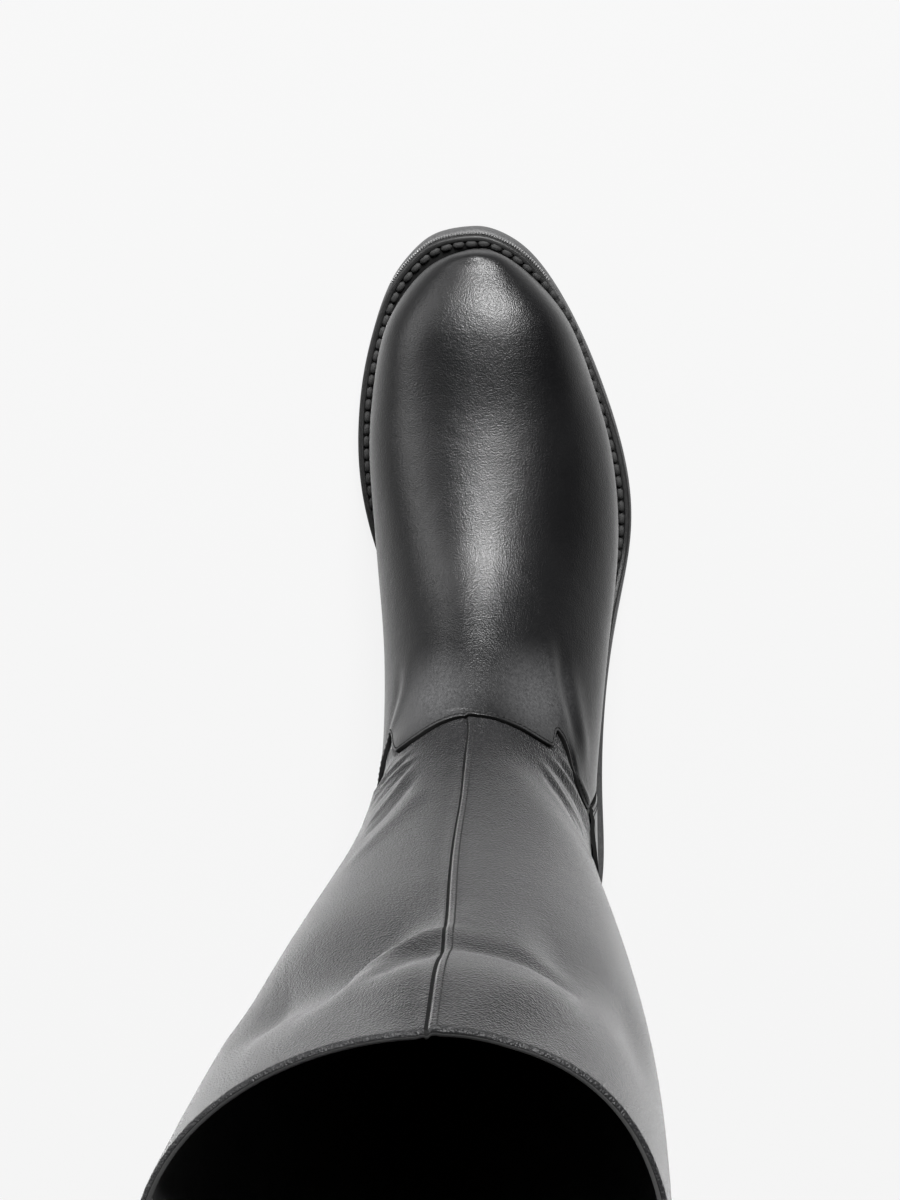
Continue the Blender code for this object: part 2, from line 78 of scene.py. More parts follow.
# One row for each section of the upper, toe to collar. A section lies in the plane through its base
# point and its top point. On the foot base_x is a place along the sole and base_z is None; from the
# heel on they are the section's lowest or hindmost point, which may lie below the sole and is then cut
# off there. Where top_z is None, top_x is the ridge's height square to the sole. inside and outside
# are the widest places on each side, ridge is the top's sideways place, widest the widest place as a
# share of the section, full_in, full_out and root how square it is on each side above that and below
# it, turn how far in degrees a foot section has turned under where it meets the sole.
SECTION_COLUMNS = (
    "name", "base_x", "base_z", "top_x", "top_z",
    "inside", "outside", "ridge", "widest", "full_in", "full_out", "root", "turn",
)
SECTIONS = (
    ("toe tip", 276.4, None, 0.0, None, 4.8, 4.8, 4.8, 0.30, 0.10, 0.10, 0.0, 22),
    ("toe wall", 275.8, None, 274.0, 37.2, 9.4, 0.0, 4.8, 0.31, 0.36, 0.44, 0.0, 22),
    ("toe", 270.6, None, 269.6, 41.2, 21.2, -8.6, 5.2, 0.32, 0.38, 0.46, 0.0, 21),
    ("toe box", 259.5, None, 257.5, 46.4, 32.0, -19.9, 5.6, 0.32, 0.34, 0.44, 0.0, 20),
    ("toe crown", 245.0, None, 243.6, 50.3, 39.2, -28.6, 5.8, 0.31, 0.24, 0.32, 0.0, 20),
    ("forefoot", 226.0, None, 44.2, None, 43.3, -35.1, 6.0, 0.29, 0.10, 0.16, 0.0, 20),
    ("ball", 203.0, None, 49.3, None, 45.3, -40.8, 6.2, 0.27, 0.04, 0.04, 0.0, 21),
    ("vamp", 178.0, None, 178.0, 65.8, 44.3, -43.4, 6.4, 0.26, -0.06, -0.06, 0.0, 22),
    ("waist", 152.0, None, 156.0, 77.2, 42.5, -42.4, 6.4, 0.27, -0.15, -0.15, 0.0, 25),
    ("instep", 124.0, None, 134.0, 95.2, 39.7, -39.2, 6.6, 0.30, -0.17, -0.20, 0.0, 27),
    ("throat", 92.0, None, 120.5, 109.0, 39.2, -36.0, 6.6, 0.34, -0.06, -0.20, 0.0, 27),
    ("heel front", 42.0, -2.0, 115.0, 115.4, 40.0, -34.2, 5.6, 0.56, 0.20, -0.16, 0.06, None),
    ("heel seat", 13.0, 12.0, 111.5, 120.8, 41.6, -34.0, 5.6, 0.53, 0.33, -0.12, 0.16, None),
    ("heel back", 2.5, 32.4, 108.5, 127.0, 45.2, -34.4, 5.6, 0.49, 0.36, -0.06, 0.12, None),
    ("counter", -0.5, 58.0, 106.0, 134.5, 47.6, -35.6, 5.6, 0.48, 0.30, 0.03, 0.08, None),
    ("ankle", 5.0, 96.0, 102.8, 148.0, 49.3, -37.8, 5.4, 0.50, 0.19, 0.11, 0.04, None),
    ("lower leg", 5.5, 138.0, 99.8, 170.0, 52.7, -42.0, 5.0, 0.50, 0.13, 0.15, 0.03, None),
    ("leg", -2.0, 190.0, 97.2, 206.0, 58.8, -48.4, 4.3, 0.50, 0.09, 0.12, 0.03, None),
    ("calf", -12.0, 252.0, 96.0, 258.0, 65.2, -54.8, 1.9, 0.50, 0.08, 0.09, 0.04, None),
    ("upper calf", -18.5, 320.0, 96.3, 321.0, 70.4, -58.8, -1.4, 0.50, 0.07, 0.07, 0.04, None),
    ("collar", -20.0, 400.0, 98.0, 400.0, 71.6, -60.4, -3.5, 0.50, 0.06, 0.06, 0.04, None),
)
# the row from which sections close round the heel, and how far the toe wall leans at its top
HEEL_ROW = 13
TOE_FRONT_LEAN = 0.0
COLLAR_ROW = len(SECTIONS) - 1
COLLAR_HEIGHT = SECTIONS[-1][SECTION_COLUMNS.index("top_z")]

# the sole's outline from below, from the toe over ball and waist to the heel: x, inside and outside
SOLE = (
    (285.0, 6.0, 6.0), (283.0, 20.0, -2.6), (276.8, 29.4, -12.2), (266.0, 38.2, -21.0),
    (250.0, 45.0, -29.8), (228.0, 50.8, -38.8), (202.0, 53.3, -46.6), (178.0, 51.2, -50.0),
    (155.0, 45.8, -48.0), (130.0, 41.2, -42.8), (102.0, 38.8, -38.8), (70.0, 39.4, -37.4),
    (38.0, 38.8, -36.8), (14.0, 30.4, -28.2), (3.0, 16.6, -14.0), (0.0, 1.4, 1.4),
)

# edge of the vamp, inside to outside: place across in shares of the section, place along in rows
VAMP_EDGE = (
    (0.0, 12.0), (0.23, 12.0), (0.262, 11.9), (0.282, 11.45), (0.294, 10.62), (0.308, 10.33),
    (0.33, 10.63), (0.385, 11.7), (0.404, 11.62), (0.423, 11.32), (0.447, 10.83), (0.475, 10.48),
    (0.5, 10.38), (0.537, 10.45), (0.576, 10.75), (0.614, 11.04), (0.644, 11.12), (0.661, 10.38),
    (0.676, 10.6), (0.693, 11.1), (0.7, 11.6), (0.731, 11.9), (0.77, 12.0), (1.0, 12.0),
)
VAMP_BACK = 78.0
COUNTER_FRONT = 77.5
# x and z at both ends of the counter's top edge
COUNTER_TOP = ((0.0, 92.0), (77.5, 80.0))
COUNTER_LIFT = 0.4

SEAM_START = 10.75

# the outsole's lip in front of the welt, only round the toe
LIP_START = 252.0
LIP_WIDE = 0.6

# how finely the shape is worked out
TINY = 1e-9
SLOPE_STEP = 0.05
RISE_STEP = 0.001
CUT_STEPS = 30
ARC_PLACES = 161
OUTLINE_PLACES = 480
GIRTH_PLACES = 81
FEATHER_PLACES = np.linspace(-20, SOLE_LENGTH, 400)
NORMAL_STEP = (0.05, 0.008)
TIP_END = 0.001
TIP_ROW = 0.2
TIP_PLACES = 9


def eased(t):
    """A share from 0 to 1 with soft ends."""
    return t * t * (3 - 2 * t)


def bell(distance, width):
    """A soft hump: 1 in its middle and almost 0 at twice its width."""
    return np.exp(-((distance / width) ** 2))


def unit(ways):
    """Ways brought to length 1."""
    return ways / np.maximum(np.linalg.norm(ways, axis=-1, keepdims=True), TINY)


def lengths_along(line):
    """Length of a line up to each of its points."""
    return np.concatenate([[0], np.cumsum(np.linalg.norm(np.diff(line, axis=0), axis=1))])


def points_at(line, lengths):
    """Points at lengths along a line."""
    reach = lengths_along(line)
    return np.stack([np.interp(lengths, reach, column) for column in line.T], -1)


def spline(knots, values, query, start=None, end=None):
    """Cubic spline with even curvature, with natural ends or the end slopes that are given."""
    k, y, q = (np.asarray(a, float) for a in (knots, values, query))
    n = len(k)
    h = np.diff(k)
    step = np.diff(y) / h
    a = np.eye(n)
    b = np.zeros(n)
    for i in range(1, n - 1):
        a[i, i - 1 : i + 2] = h[i - 1], 2 * (h[i - 1] + h[i]), h[i]
        b[i] = 6 * (step[i] - step[i - 1])
    if start is not None:
        a[0, :2] = 2 * h[0], h[0]
        b[0] = 6 * (step[0] - start)
    if end is not None:
        a[-1, -2:] = h[-1], 2 * h[-1]
        b[-1] = 6 * (end - step[-1])
    m = np.linalg.solve(a, b)
    i = np.clip(np.searchsorted(k, q, side="right") - 1, 0, n - 2)
    d = q - k[i]
    e = k[i + 1] - q
    curve = (m[i] * e**3 + m[i + 1] * d**3) / (6 * h[i])
    return curve + (y[i] / h[i] - m[i] * h[i] / 6) * e + (y[i + 1] / h[i] - m[i + 1] * h[i] / 6) * d


def underside(x):
    """Height of the outsole's underside above the floor."""
    x = np.asarray(x, float)
    t = np.clip((x - SHANK_START) / (SHANK_END - SHANK_START), 0, 1)
    heel = HEEL_HEIGHT * (1 - t**3 * (10 - 15 * t + 6 * t * t))
    toe = np.clip((x - SPRING_START) / (SOLE_LENGTH - SPRING_START), 0, None)
    return heel + TOE_SPRING * toe**SPRING_POWER


def tilt(x):
    """Slope angle of the underside."""
    return np.arctan((underside(x + SLOPE_STEP) - underside(x - SLOPE_STEP)) / (2 * SLOPE_STEP))


def on_sole(x, y, height):
    """Points at a height square to the underside."""
    x = np.asarray(x, float)
    a = tilt(x)
    y = np.broadcast_to(np.asarray(y, float), x.shape)
    return np.stack([x - height * np.sin(a), y, underside(x) + height * np.cos(a)], -1)


FEATHER = on_sole(FEATHER_PLACES, 0.0, SEAT)


def section_table():
    """The section rows by column, with every base point at the section's lowest place."""
    rows = []
    for row in SECTIONS:
        r = dict(zip(SECTION_COLUMNS, row))
        if r["top_z"] is None:
            r["top_x"], _, r["top_z"] = on_sole(r["base_x"], 0.0, SEAT + r["top_x"])
        if r["base_z"] is None:
            r["base_x"], _, r["base_z"] = on_sole(r["base_x"], 0.0, SEAT)
            way = np.array([r["top_x"] - r["base_x"], r["top_z"] - r["base_z"]])
            deep = r["widest"] / math.sin(math.radians(r["turn"]))
            below = deep - r["widest"]
            r["base_x"], r["base_z"] = (r["base_x"], r["base_z"]) - below * way
            r["widest"] = deep / (1 + below)
        rows.append(r)
    return {name: [r[name] for r in rows] for name in SECTION_COLUMNS[1:-1]}


def sections_at(u):
    """Smooth section sizes at places between the rows."""
    table = section_table()
    k = np.arange(len(SECTIONS))
    out = {name: spline(k, column, u) for name, column in table.items()}
    square = -math.tan(tilt(SECTIONS[0][1]))
    for x, z, lean in (("base_x", "base_z", square), ("top_x", "top_z", TOE_FRONT_LEAN)):
        rise = spline(k, table[z], [0.0, RISE_STEP])
        out[x] = spline(k, table[x], u, lean * (rise[1] - rise[0]) / RISE_STEP)
    return out


def feather_height(x):
    """Height of the upper's lower edge above the floor."""
    return np.interp(x, FEATHER[:, 0], FEATHER[:, 2])


def cut_share(r):
    """Share of a section that the sole cuts off, from its base point."""
    low, high = np.zeros_like(r["base_x"]), np.ones_like(r["base_x"])
    for _ in range(CUT_STEPS):
        t = (low + high) / 2
        x = r["base_x"] + t * (r["top_x"] - r["base_x"])
        z = r["base_z"] + t * (r["top_z"] - r["base_z"])
        under = z < feather_height(x)
        low, high = np.where(under, t, low), np.where(under, high, t)
    return low


def outer(u, v):
    """Points of the upper's outer face: u counts rows, v is 0 inside, 0.5 at the ridge, 1 outside."""
    u, v = np.broadcast_arrays(np.asarray(u, float), np.asarray(v, float))
    shape = u.shape
    rows, back = np.unique(u.ravel(), return_inverse=True)
    v = v.ravel()
    r = sections_at(rows)
    cut = np.where(rows >= HEEL_ROW, 0.0, cut_share(r))
    r = {name: col[:, None] for name, col in r.items()}
    half = (r["inside"] - r["outside"]) / 2
    mid = (r["inside"] + r["outside"]) / 2
    span = np.hypot(r["top_x"] - r["base_x"], r["top_z"] - r["base_z"])
    start = np.arcsin(np.clip(cut[:, None] / r["widest"] - 1, -1, 0))
    phi = start + np.linspace(0, 1, ARC_PLACES) * (math.pi / 2 - start)
    s = np.sin(phi)
    above = phi > 0
    share = r["widest"] + np.where(above, 1 - r["widest"], r["widest"]) * s
    lean = np.where(above, (r["ridge"] - mid) * s * s, 0)
    base_x, base_z, top_x, top_z = (r[name][back, 0] for name in ("base_x", "base_z", "top_x", "top_z"))
    points = np.zeros((len(v), 3))
    for full, way, here in (("full_in", 1, v <= 0.5), ("full_out", -1, v > 0.5)):
        wide = half * np.cos(phi) * (1 + np.where(above, r[full], r["root"]) * s * s)
        arc = np.zeros_like(share)
        arc[:, 1:] = np.cumsum(np.hypot(np.diff(share) * span, np.diff(wide)), 1)
        n = back[here]
        goal = arc[n, -1] * (1 - np.abs(2 * v[here] - 1))
        i = np.clip((arc[n] < goal[:, None]).sum(1), 1, arc.shape[1] - 1)
        f = (goal - arc[n, i - 1]) / np.maximum(arc[n, i] - arc[n, i - 1], TINY)
        a, w, t = (q[n, i - 1] * (1 - f) + q[n, i] * f for q in (share, wide, lean))
        x = base_x[here] + a * (top_x - base_x)[here]
        z = base_z[here] + a * (top_z - base_z)[here]
        points[here] = np.stack([x, mid[n, 0] + t + way * w, z], -1)
    return points.reshape(shape + (3,))


def outward(u, v):
    """Unit normals of the outer face, from the ring of places round each one."""
    u, v = np.broadcast_arrays(np.asarray(u, float), np.asarray(v, float))
    ring = ((1, 0), (1, 1), (0, 1), (-1, 1), (-1, 0), (-1, -1), (0, -1), (1, -1))
    arms = []
    for step_u, step_v in ring:
        near_u = np.clip(u + NORMAL_STEP[0] * step_u, 0, COLLAR_ROW)
        near_v = v + NORMAL_STEP[1] * step_v
        near_v = np.where(near_u >= HEEL_ROW, near_v % 1.0, np.clip(near_v, 0, 1))
        arms.append(outer(near_u, near_v) - outer(u, v))
    n = sum(np.cross(arms[i - 1], arms[i]) for i in range(len(arms)))
    tip = u < TIP_END
    if tip.any():
        n[tip] = outward(np.full(TIP_PLACES, TIP_ROW), np.linspace(0, 1, TIP_PLACES)).mean(0)
    return unit(n)


def sole_outline():
    """Close places on the sole's edge, toe to heel: inside and outside."""
    k = np.arange(len(SOLE))
    q = np.linspace(0, len(SOLE) - 1, OUTLINE_PLACES)
    x, inside, outside = zip(*SOLE)
    x = spline(k, x, q, 0.0, 0.0)
    return np.stack([x, spline(k, inside, q)], -1), np.stack([x, spline(k, outside, q)], -1)


def feather_outline():
    """Close places where the upper meets the sole, toe to heel: inside and outside."""
    u = np.linspace(0, HEEL_ROW, OUTLINE_PLACES)
    sides = []
    for v in (0.0, 1.0):
        points = outer(u, v)
        x = np.interp(points[:, 0], FEATHER[:, 0], FEATHER_PLACES)
        sides.append(np.stack([x, points[:, 1]], -1))
    return sides


def toe_share(x):
    """How far a place along the sole is into the toe's lip, from 0 to 1."""
    return eased(np.clip((np.asarray(x, float) - LIP_START) / (SOLE_LENGTH - LIP_START), 0, 1))


def grown(sides, distance, at_toe=0.0):
    """An outline moved outward by a distance, and by more or less at the toe."""
    inside, outside = sides
    loop = np.concatenate([inside, outside[-2:0:-1]])
    distance = (distance + at_toe * toe_share(loop[:, 0]))[:, None]
    way = unit(np.roll(loop, -1, 0) - np.roll(loop, 1, 0))
    loop = loop + distance * np.stack([way[:, 1], -way[:, 0]], -1)
    n = len(inside)
    return loop[:n], np.concatenate([loop[:1], loop[: n - 2 : -1]])


def girth(u):
    """Length round a section, from one lower edge over the ridge to the other."""
    rows, back = np.unique(np.asarray(u, float), return_inverse=True)
    ring = outer(rows[:, None], np.linspace(0, 1, GIRTH_PLACES)[None, :])
    return np.linalg.norm(np.diff(ring, axis=1), axis=2).sum(1)[back].reshape(np.shape(u))


def near_line(points, line):
    """Distance of points from a line, and the share of its length at the nearest place."""
    reach = lengths_along(line)
    step = np.diff(reach)
    best = np.full(len(points), np.inf)
    share = np.zeros(len(points))
    for i in range(len(line) - 1):
        way = line[i + 1] - line[i]
        t = np.clip((points - line[i]) @ way / (way @ way), 0, 1)
        d = np.linalg.norm(points - line[i] - t[:, None] * way, axis=1)
        closer = d < best
        best = np.where(closer, d, best)
        share = np.where(closer, (reach[i] + t * step[i]) / reach[-1], share)
    return best, share


def smooth_line(places, count):
    """A smooth line of places on the upper through a few given ones."""
    k = np.arange(len(places))
    q = np.linspace(0, len(places) - 1, count)
    u, v = (spline(k, [p[c] for p in places], q) for c in (0, 1))
    return outer(u, v)


# Folds of the leather: width and height in millimetres, with troughs below 0, and places given
# in rows and shares of the upper.
FOLD_PLACES = 20
FOLD_REACH = 3
FOLD_FADE = 0.3
FOLDS = (
    # left fan from the throat up: ridges, most with a trough above, and a broad roll
    (1.1, 0.45, ((11.7, 0.376), (12.2, 0.368), (12.6, 0.364), (13.0, 0.372))),
    (1.3, 0.6, ((11.8, 0.426), (12.5, 0.398), (12.9, 0.376), (13.6, 0.364))),
    (1.3, -0.5, ((12.1, 0.428), (12.8, 0.408), (13.3, 0.386), (13.8, 0.372))),
    (1.4, 0.7, ((12.4, 0.442), (13.2, 0.426), (13.7, 0.401), (14.2, 0.366))),
    (1.5, -0.6, ((12.9, 0.446), (13.7, 0.43), (14.2, 0.408), (14.7, 0.374))),
    (1.7, 0.8, ((13.0, 0.454), (14.3, 0.43), (15.0, 0.407), (15.8, 0.374))),
    (2.2, -0.7, ((13.8, 0.458), (14.8, 0.434), (15.5, 0.412), (16.2, 0.38))),
    (4.5, 0.8, ((14.4, 0.466), (15.5, 0.442), (16.3, 0.414), (17.0, 0.38))),
    # right fan in the same order
    (1.3, 0.6, ((11.1, 0.648), (11.35, 0.682), (11.6, 0.712), (11.95, 0.775))),
    (1.3, -0.5, ((11.3, 0.64), (11.5, 0.672), (11.7, 0.702), (12.0, 0.76))),
    (1.5, 0.7, ((11.4, 0.612), (11.65, 0.658), (11.85, 0.694), (12.2, 0.79))),
    (1.6, -0.6, ((11.7, 0.608), (11.9, 0.646), (12.2, 0.69), (12.6, 0.76))),
    (1.9, 0.7, ((11.8, 0.594), (12.3, 0.625), (12.8, 0.652), (13.6, 0.7))),
    (2.4, -0.6, ((12.2, 0.588), (12.8, 0.616), (13.5, 0.646), (14.4, 0.69))),
    (4.5, 0.7, ((12.8, 0.578), (13.8, 0.604), (14.9, 0.64), (16.0, 0.69))),
    # ring where the shaft slumps: ridge, troughs, swell, and the hollows beside it
    (5.0, 2.2, ((18.68, 0.514), (18.8, 0.495), (18.95, 0.474), (19.07, 0.45), (19.2, 0.415))),
    (6.0, -1.6, ((18.98, 0.506), (19.06, 0.492), (19.16, 0.48), (19.32, 0.468), (19.5, 0.455))),
    (7.0, -2.0,
     ((18.9, 0.494), (18.97, 0.505), (19.02, 0.525), (19.06, 0.545), (19.12, 0.575), (19.16, 0.61))),
    (28.0, 4.6,
     ((19.62, 0.44), (19.56, 0.47), (19.54, 0.5), (19.56, 0.525), (19.62, 0.552), (19.7, 0.59))),
    (35.0, -8.0, ((18.85, 0.32), (18.82, 0.37), (18.86, 0.42), (18.98, 0.48))),
    (35.0, -3.0, ((18.92, 0.55), (18.88, 0.6), (18.85, 0.64), (18.85, 0.7))),
    # toe, eased behind its tip
    (6.0, -0.35, ((1.7, 0.34), (1.72, 0.43), (1.72, 0.5), (1.72, 0.57), (1.7, 0.66))),
    # pulls in the sides of the vamp
    (3.2, 0.8, ((8.6, 0.64), (9.3, 0.662), (9.9, 0.68), (10.6, 0.7))),
    (3.0, -0.8, ((8.9, 0.668), (9.5, 0.69), (10.1, 0.708), (10.8, 0.724))),
    (4.0, 0.7, ((9.0, 0.7), (9.8, 0.722), (10.6, 0.742), (11.2, 0.752))),
    (4.0, 0.6, ((8.9, 0.35), (9.5, 0.33), (10.2, 0.31), (10.9, 0.296))),
    (3.6, -0.6, ((9.1, 0.326), (9.7, 0.306), (10.4, 0.286), (11.0, 0.274))),
    # folds and rolls round the back of the ankle
    (5.0, -1.0, ((15.6, 0.06), (15.4, 0.12), (15.2, 0.2), (15.3, 0.27))),
    (5.5, -1.0, ((15.7, 0.94), (15.5, 0.88), (15.3, 0.8), (15.4, 0.73))),
    (6.0, 0.9, ((16.2, 0.05), (16.0, 0.14), (15.9, 0.23), (15.9, 0.3))),
    (6.0, 0.9, ((16.3, 0.95), (16.1, 0.86), (16.0, 0.77), (16.0, 0.7))),
)

# the front seam's groove with its part painted dark as shade, and groove, trough and bank by place,
# width and height
SEAM_GROOVE_START = SEAM_START - 0.6
SEAM_GROOVE_PLACE = -1.15
SEAM_GROOVE_PAINTED_SHADE = (0.4953, 0.4984)
SEAM_RELIEF = ((SEAM_GROOVE_PLACE, 0.55, -0.8), (-4.2, 2.6, -0.35), (0.7, 1.3, 0.4))


def relief(points, u, v):
    """Height of the folds and of the front seam's groove at places on the outer face."""
    shape = points.shape[:-1]
    flat = points.reshape(-1, 3)
    total = np.zeros(len(flat))
    for width, height, places in FOLDS:
        line = smooth_line(places, FOLD_PLACES)
        reach = FOLD_REACH * width
        near = ((flat > line.min(0) - reach) & (flat < line.max(0) + reach)).all(1)
        if near.any():
            d, share = near_line(flat[near], line)
            ends = eased(np.clip(np.minimum(share, 1 - share) / FOLD_FADE, 0, 1))
            total[near] += height * bell(d, width) * ends
    side = (v - 0.5) * girth(u)
    seam = sum(height * bell(side - place, width) for place, width, height in SEAM_RELIEF)
    return total.reshape(shape) + np.where(u > SEAM_GROOVE_START, seam, 0.0)


SHARP_ANGLE = 42
JOIN_REACH = 0.000002
SAME_DIGITS = 2
TOP_KIND, FLOOR_KIND, RIM_KIND = range(3)


def piece(name, points, faces, mats, node=None, kinds=None):
    """A named piece from points in millimetres, which rides on the boot and may replace a node."""
    mesh = bpy.data.meshes.new(name)
    mesh.from_pydata(((np.asarray(points) - ORIGIN) * MM).tolist(), [], faces)
    if kinds is not None:
        mesh.polygons.foreach_set("material_index", kinds)
    work = bmesh.new()
    work.from_mesh(mesh)
    bmesh.ops.remove_doubles(work, verts=work.verts, dist=JOIN_REACH)
    bmesh.ops.recalc_face_normals(work, faces=work.faces)
    work.to_mesh(mesh)
    work.free()
    mesh.shade_smooth()
    mesh.set_sharp_from_angle(angle=math.radians(SHARP_ANGLE))
    obj = bpy.data.objects.new(name, mesh)
    boot.objects.link(obj)
    for mat in mats:
        mesh.materials.append(mat)
    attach(obj, "root")
    if node:
        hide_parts(node)
    return obj


def sheet_faces(rows, columns):
    """Faces of a grid of points."""
    i, j = np.meshgrid(np.arange(rows - 1), np.arange(columns - 1), indexing="ij")
    a = (i * columns + j).ravel()
    return np.stack([a, a + 1, a + columns + 1, a + columns], 1)


def shell(name, top, floor, faces, outside, inside, node, marked):
    """A closed leather wall between two sheets of points, with edge paint on its rim and marked faces,
    which in grooves is painted shade.
    """
    top = top.reshape(-1, 3)
    floor = floor.reshape(-1, 3)
    first = {}
    keys = map(tuple, np.round(top, SAME_DIGITS).tolist())
    same = [first.setdefault(key, i) for i, key in enumerate(keys)]
    sheet, top_kinds = [], []
    for face in faces:
        ring = list(dict.fromkeys(same[i] for i in face))
        if len(ring) > 2:
            sheet.append(ring)
            top_kinds.append(RIM_KIND if marked[face].all() else TOP_KIND)
    ways = {(ring[i - 1], ring[i]) for ring in sheet for i in range(len(ring))}
    n = len(top)
    under = [[i + n for i in ring[::-1]] for ring in sheet]
    rim = [[b, a, a + n, b + n] for a, b in sorted(ways) if (b, a) not in ways]
    kinds = top_kinds + [FLOOR_KIND] * len(under) + [RIM_KIND] * len(rim)
    mats = [outside, inside, edge_paint_and_shade]
    return piece(name, np.concatenate([top, floor]), sheet + under + rim, mats, node, kinds)


def rounded(distance, radius):
    """How far a rounded edge has dropped at a distance from it."""
    d = np.clip(distance, 0, radius)
    return radius - np.sqrt(radius**2 - (radius - d) ** 2)


def stretches(rows):
    """Places through stretches of start, end and count, without the last end."""
    return np.concatenate([np.linspace(*row, endpoint=False) for row in rows])


COLLAR_ROUND = 1.1
COLLAR_EDGE = COLLAR_ROW - 0.02
FOOT_ROWS = ((0, 9.6, 24), (9.6, 12, 36))
SEAT_ROWS = ((1, 0, 22),)
SHAFT_ROWS = ((HEEL_ROW, 16, 50), (16, COLLAR_EDGE, 98), (COLLAR_EDGE, COLLAR_ROW, 4))
UPPER_COLUMNS = ((0, 0.34, 34), (0.34, 0.488, 52), (0.488, 0.512, 29), (0.512, 0.70, 58), (0.70, 1, 31))
LINING_FOLLOWS = 0.7


def build_upper():
    """The wall of foot and shaft with its folds, its lining and the front seam's groove, painted dark as
    its shade.
    """
    seat = HEEL_ROW - stretches(SEAT_ROWS) ** 2
    u = np.concatenate([stretches(FOOT_ROWS), seat, stretches(SHAFT_ROWS), [COLLAR_ROW]])
    v = np.append(stretches(UPPER_COLUMNS), 1.0)
    u, v = np.broadcast_arrays(u[:, None], v[None, :])
    base, way = outer(u, v), outward(u, v)
    raise_by = relief(base, u, v)
    drop = rounded(COLLAR_HEIGHT - base[..., 2], COLLAR_ROUND)
    top = base + way * (raise_by - drop)[..., None]
    floor = base + way * (LINING_FOLLOWS * raise_by - WALL + drop)[..., None]
    # painted shade: the groove's faces take the dark edge paint
    groove = (v > SEAM_GROOVE_PAINTED_SHADE[0]) & (v < SEAM_GROOVE_PAINTED_SHADE[1]) & (u > SEAM_GROOVE_START)
    faces = sheet_faces(*u.shape)
    return shell("upper_leather", top, floor, faces, shaft_leather, lining, "upper", groove.ravel())


CORNER_CUTS = 2
CORNER_SHARE = 0.14


def cut_corners(line):
    """A line with its corners cut off."""
    line = np.asarray(line, float)
    for _ in range(CORNER_CUTS):
        near = line[:-1] * (1 - CORNER_SHARE) + line[1:] * CORNER_SHARE
        far = line[:-1] * CORNER_SHARE + line[1:] * (1 - CORNER_SHARE)
        line = np.concatenate([line[:1], np.stack([near, far], 1).reshape(-1, 2), line[-1:]])
    return line


ROW_SEARCH = (9.0, 16.0)
ROW_STEPS = 36


def row_at(v, test):
    """Rows where a test of the outer face's points first fails, going back from the vamp."""
    low, high = (np.full(len(v), end) for end in ROW_SEARCH)
    for _ in range(ROW_STEPS):
        mid = (low + high) / 2
        here = test(outer(mid, v))
        low, high = np.where(here, mid, low), np.where(here, high, mid)
    return low


EDGE_ROUND = 0.35
EDGE_PAINT = 0.25
SKIVE_WIDE = 3.0
SKIVE_DEEP = 0.12
WING_SKIVE = 0.95
WING_START = 0.683
WING_FULL = 0.700
FLOOR_SKIVE = 0.3
VAMP_COLUMNS = ((0, 1, 151), (0.27, 0.41, 57), (0.628, 0.71, 41))
VAMP_FRONT_ROWS = ((0.06, 4, 60), (4, 9.5, 53))
VAMP_FRONT_END = 9.5
VAMP_BACK_ROWS = 30
VAMP_BACK_POWER = 1.6
VAMP_RIM_START = 9.4
VAMP_STITCH_LINES = (1.1,)
FAR = 99.0
EDGE_SLACK = 0.01


def build_vamp():
    """The vamp's wall with its skived, scalloped edge, and its stitch lines."""
    v = np.unique(np.concatenate([np.linspace(*row) for row in VAMP_COLUMNS]).round(5))
    curve = cut_corners(VAMP_EDGE)
    edge = np.minimum(np.interp(v, curve[:, 0], curve[:, 1]), row_at(v, lambda p: p[:, 0] > VAMP_BACK))
    rows = [np.full(len(v), u) for u in (*stretches(VAMP_FRONT_ROWS), VAMP_FRONT_END)]
    for share in 1 - (1 - np.linspace(0, 1, VAMP_BACK_ROWS + 1)[1:]) ** VAMP_BACK_POWER:
        rows.append(VAMP_FRONT_END + (edge - VAMP_FRONT_END) * share)
    u = np.array(rows)
    v = np.broadcast_to(v, u.shape)
    base, way = outer(u, v), outward(u, v)
    rim = base[-1]
    distance = np.full(u.shape, FAR)
    close = u > VAMP_RIM_START
    distance[close], _ = near_line(base[close], rim)
    raise_by = relief(base, u, v)
    thin = eased(1 - np.clip(distance / SKIVE_WIDE, 0, 1))
    deep = np.interp(v, (WING_START, WING_FULL), (SKIVE_DEEP, WING_SKIVE))
    lift = raise_by + GAP + OVERLAY - deep * thin - rounded(distance, EDGE_ROUND)
    top = base + way * lift[..., None]
    floor = base + way * (raise_by + GAP - FLOOR_SKIVE * thin)[..., None]
    marked = (distance < EDGE_PAINT).ravel()
    obj = shell("vamp_leather", top, floor, sheet_faces(*u.shape), leather, leather, "vamp", marked)
    free = np.interp(v[-1], curve[:, 0], curve[:, 1]) < edge + EDGE_SLACK
    return obj, [offset_line(top, distance, offset)[free] for offset in VAMP_STITCH_LINES]


def offset_line(top, distance, offset):
    """The line at a distance in from the last row of a sheet, one place for each column."""
    spots = []
    for j in range(top.shape[1]):
        far = distance[::-1, j]
        i = max(int(np.argmax(far >= offset)), 1)
        t = np.clip((offset - far[i - 1]) / max(far[i] - far[i - 1], TINY), 0, 1)
        spots.append(top[-i, j] * (1 - t) + top[-i - 1, j] * t)
    return np.array(spots)


COUNTER_COLUMNS = ((0, 0.02, 8), (0.02, 0.42, 89))
COUNTER_END = 0.42
COUNTER_ROWS = 75
COUNTER_LEAST = 0.02
COUNTER_STITCH_LINES = (1.3, 3.0)
# the sunk band under the stitches: depth, place and width
COUNTER_CHANNEL = (0.2, 2.4, 1.1)


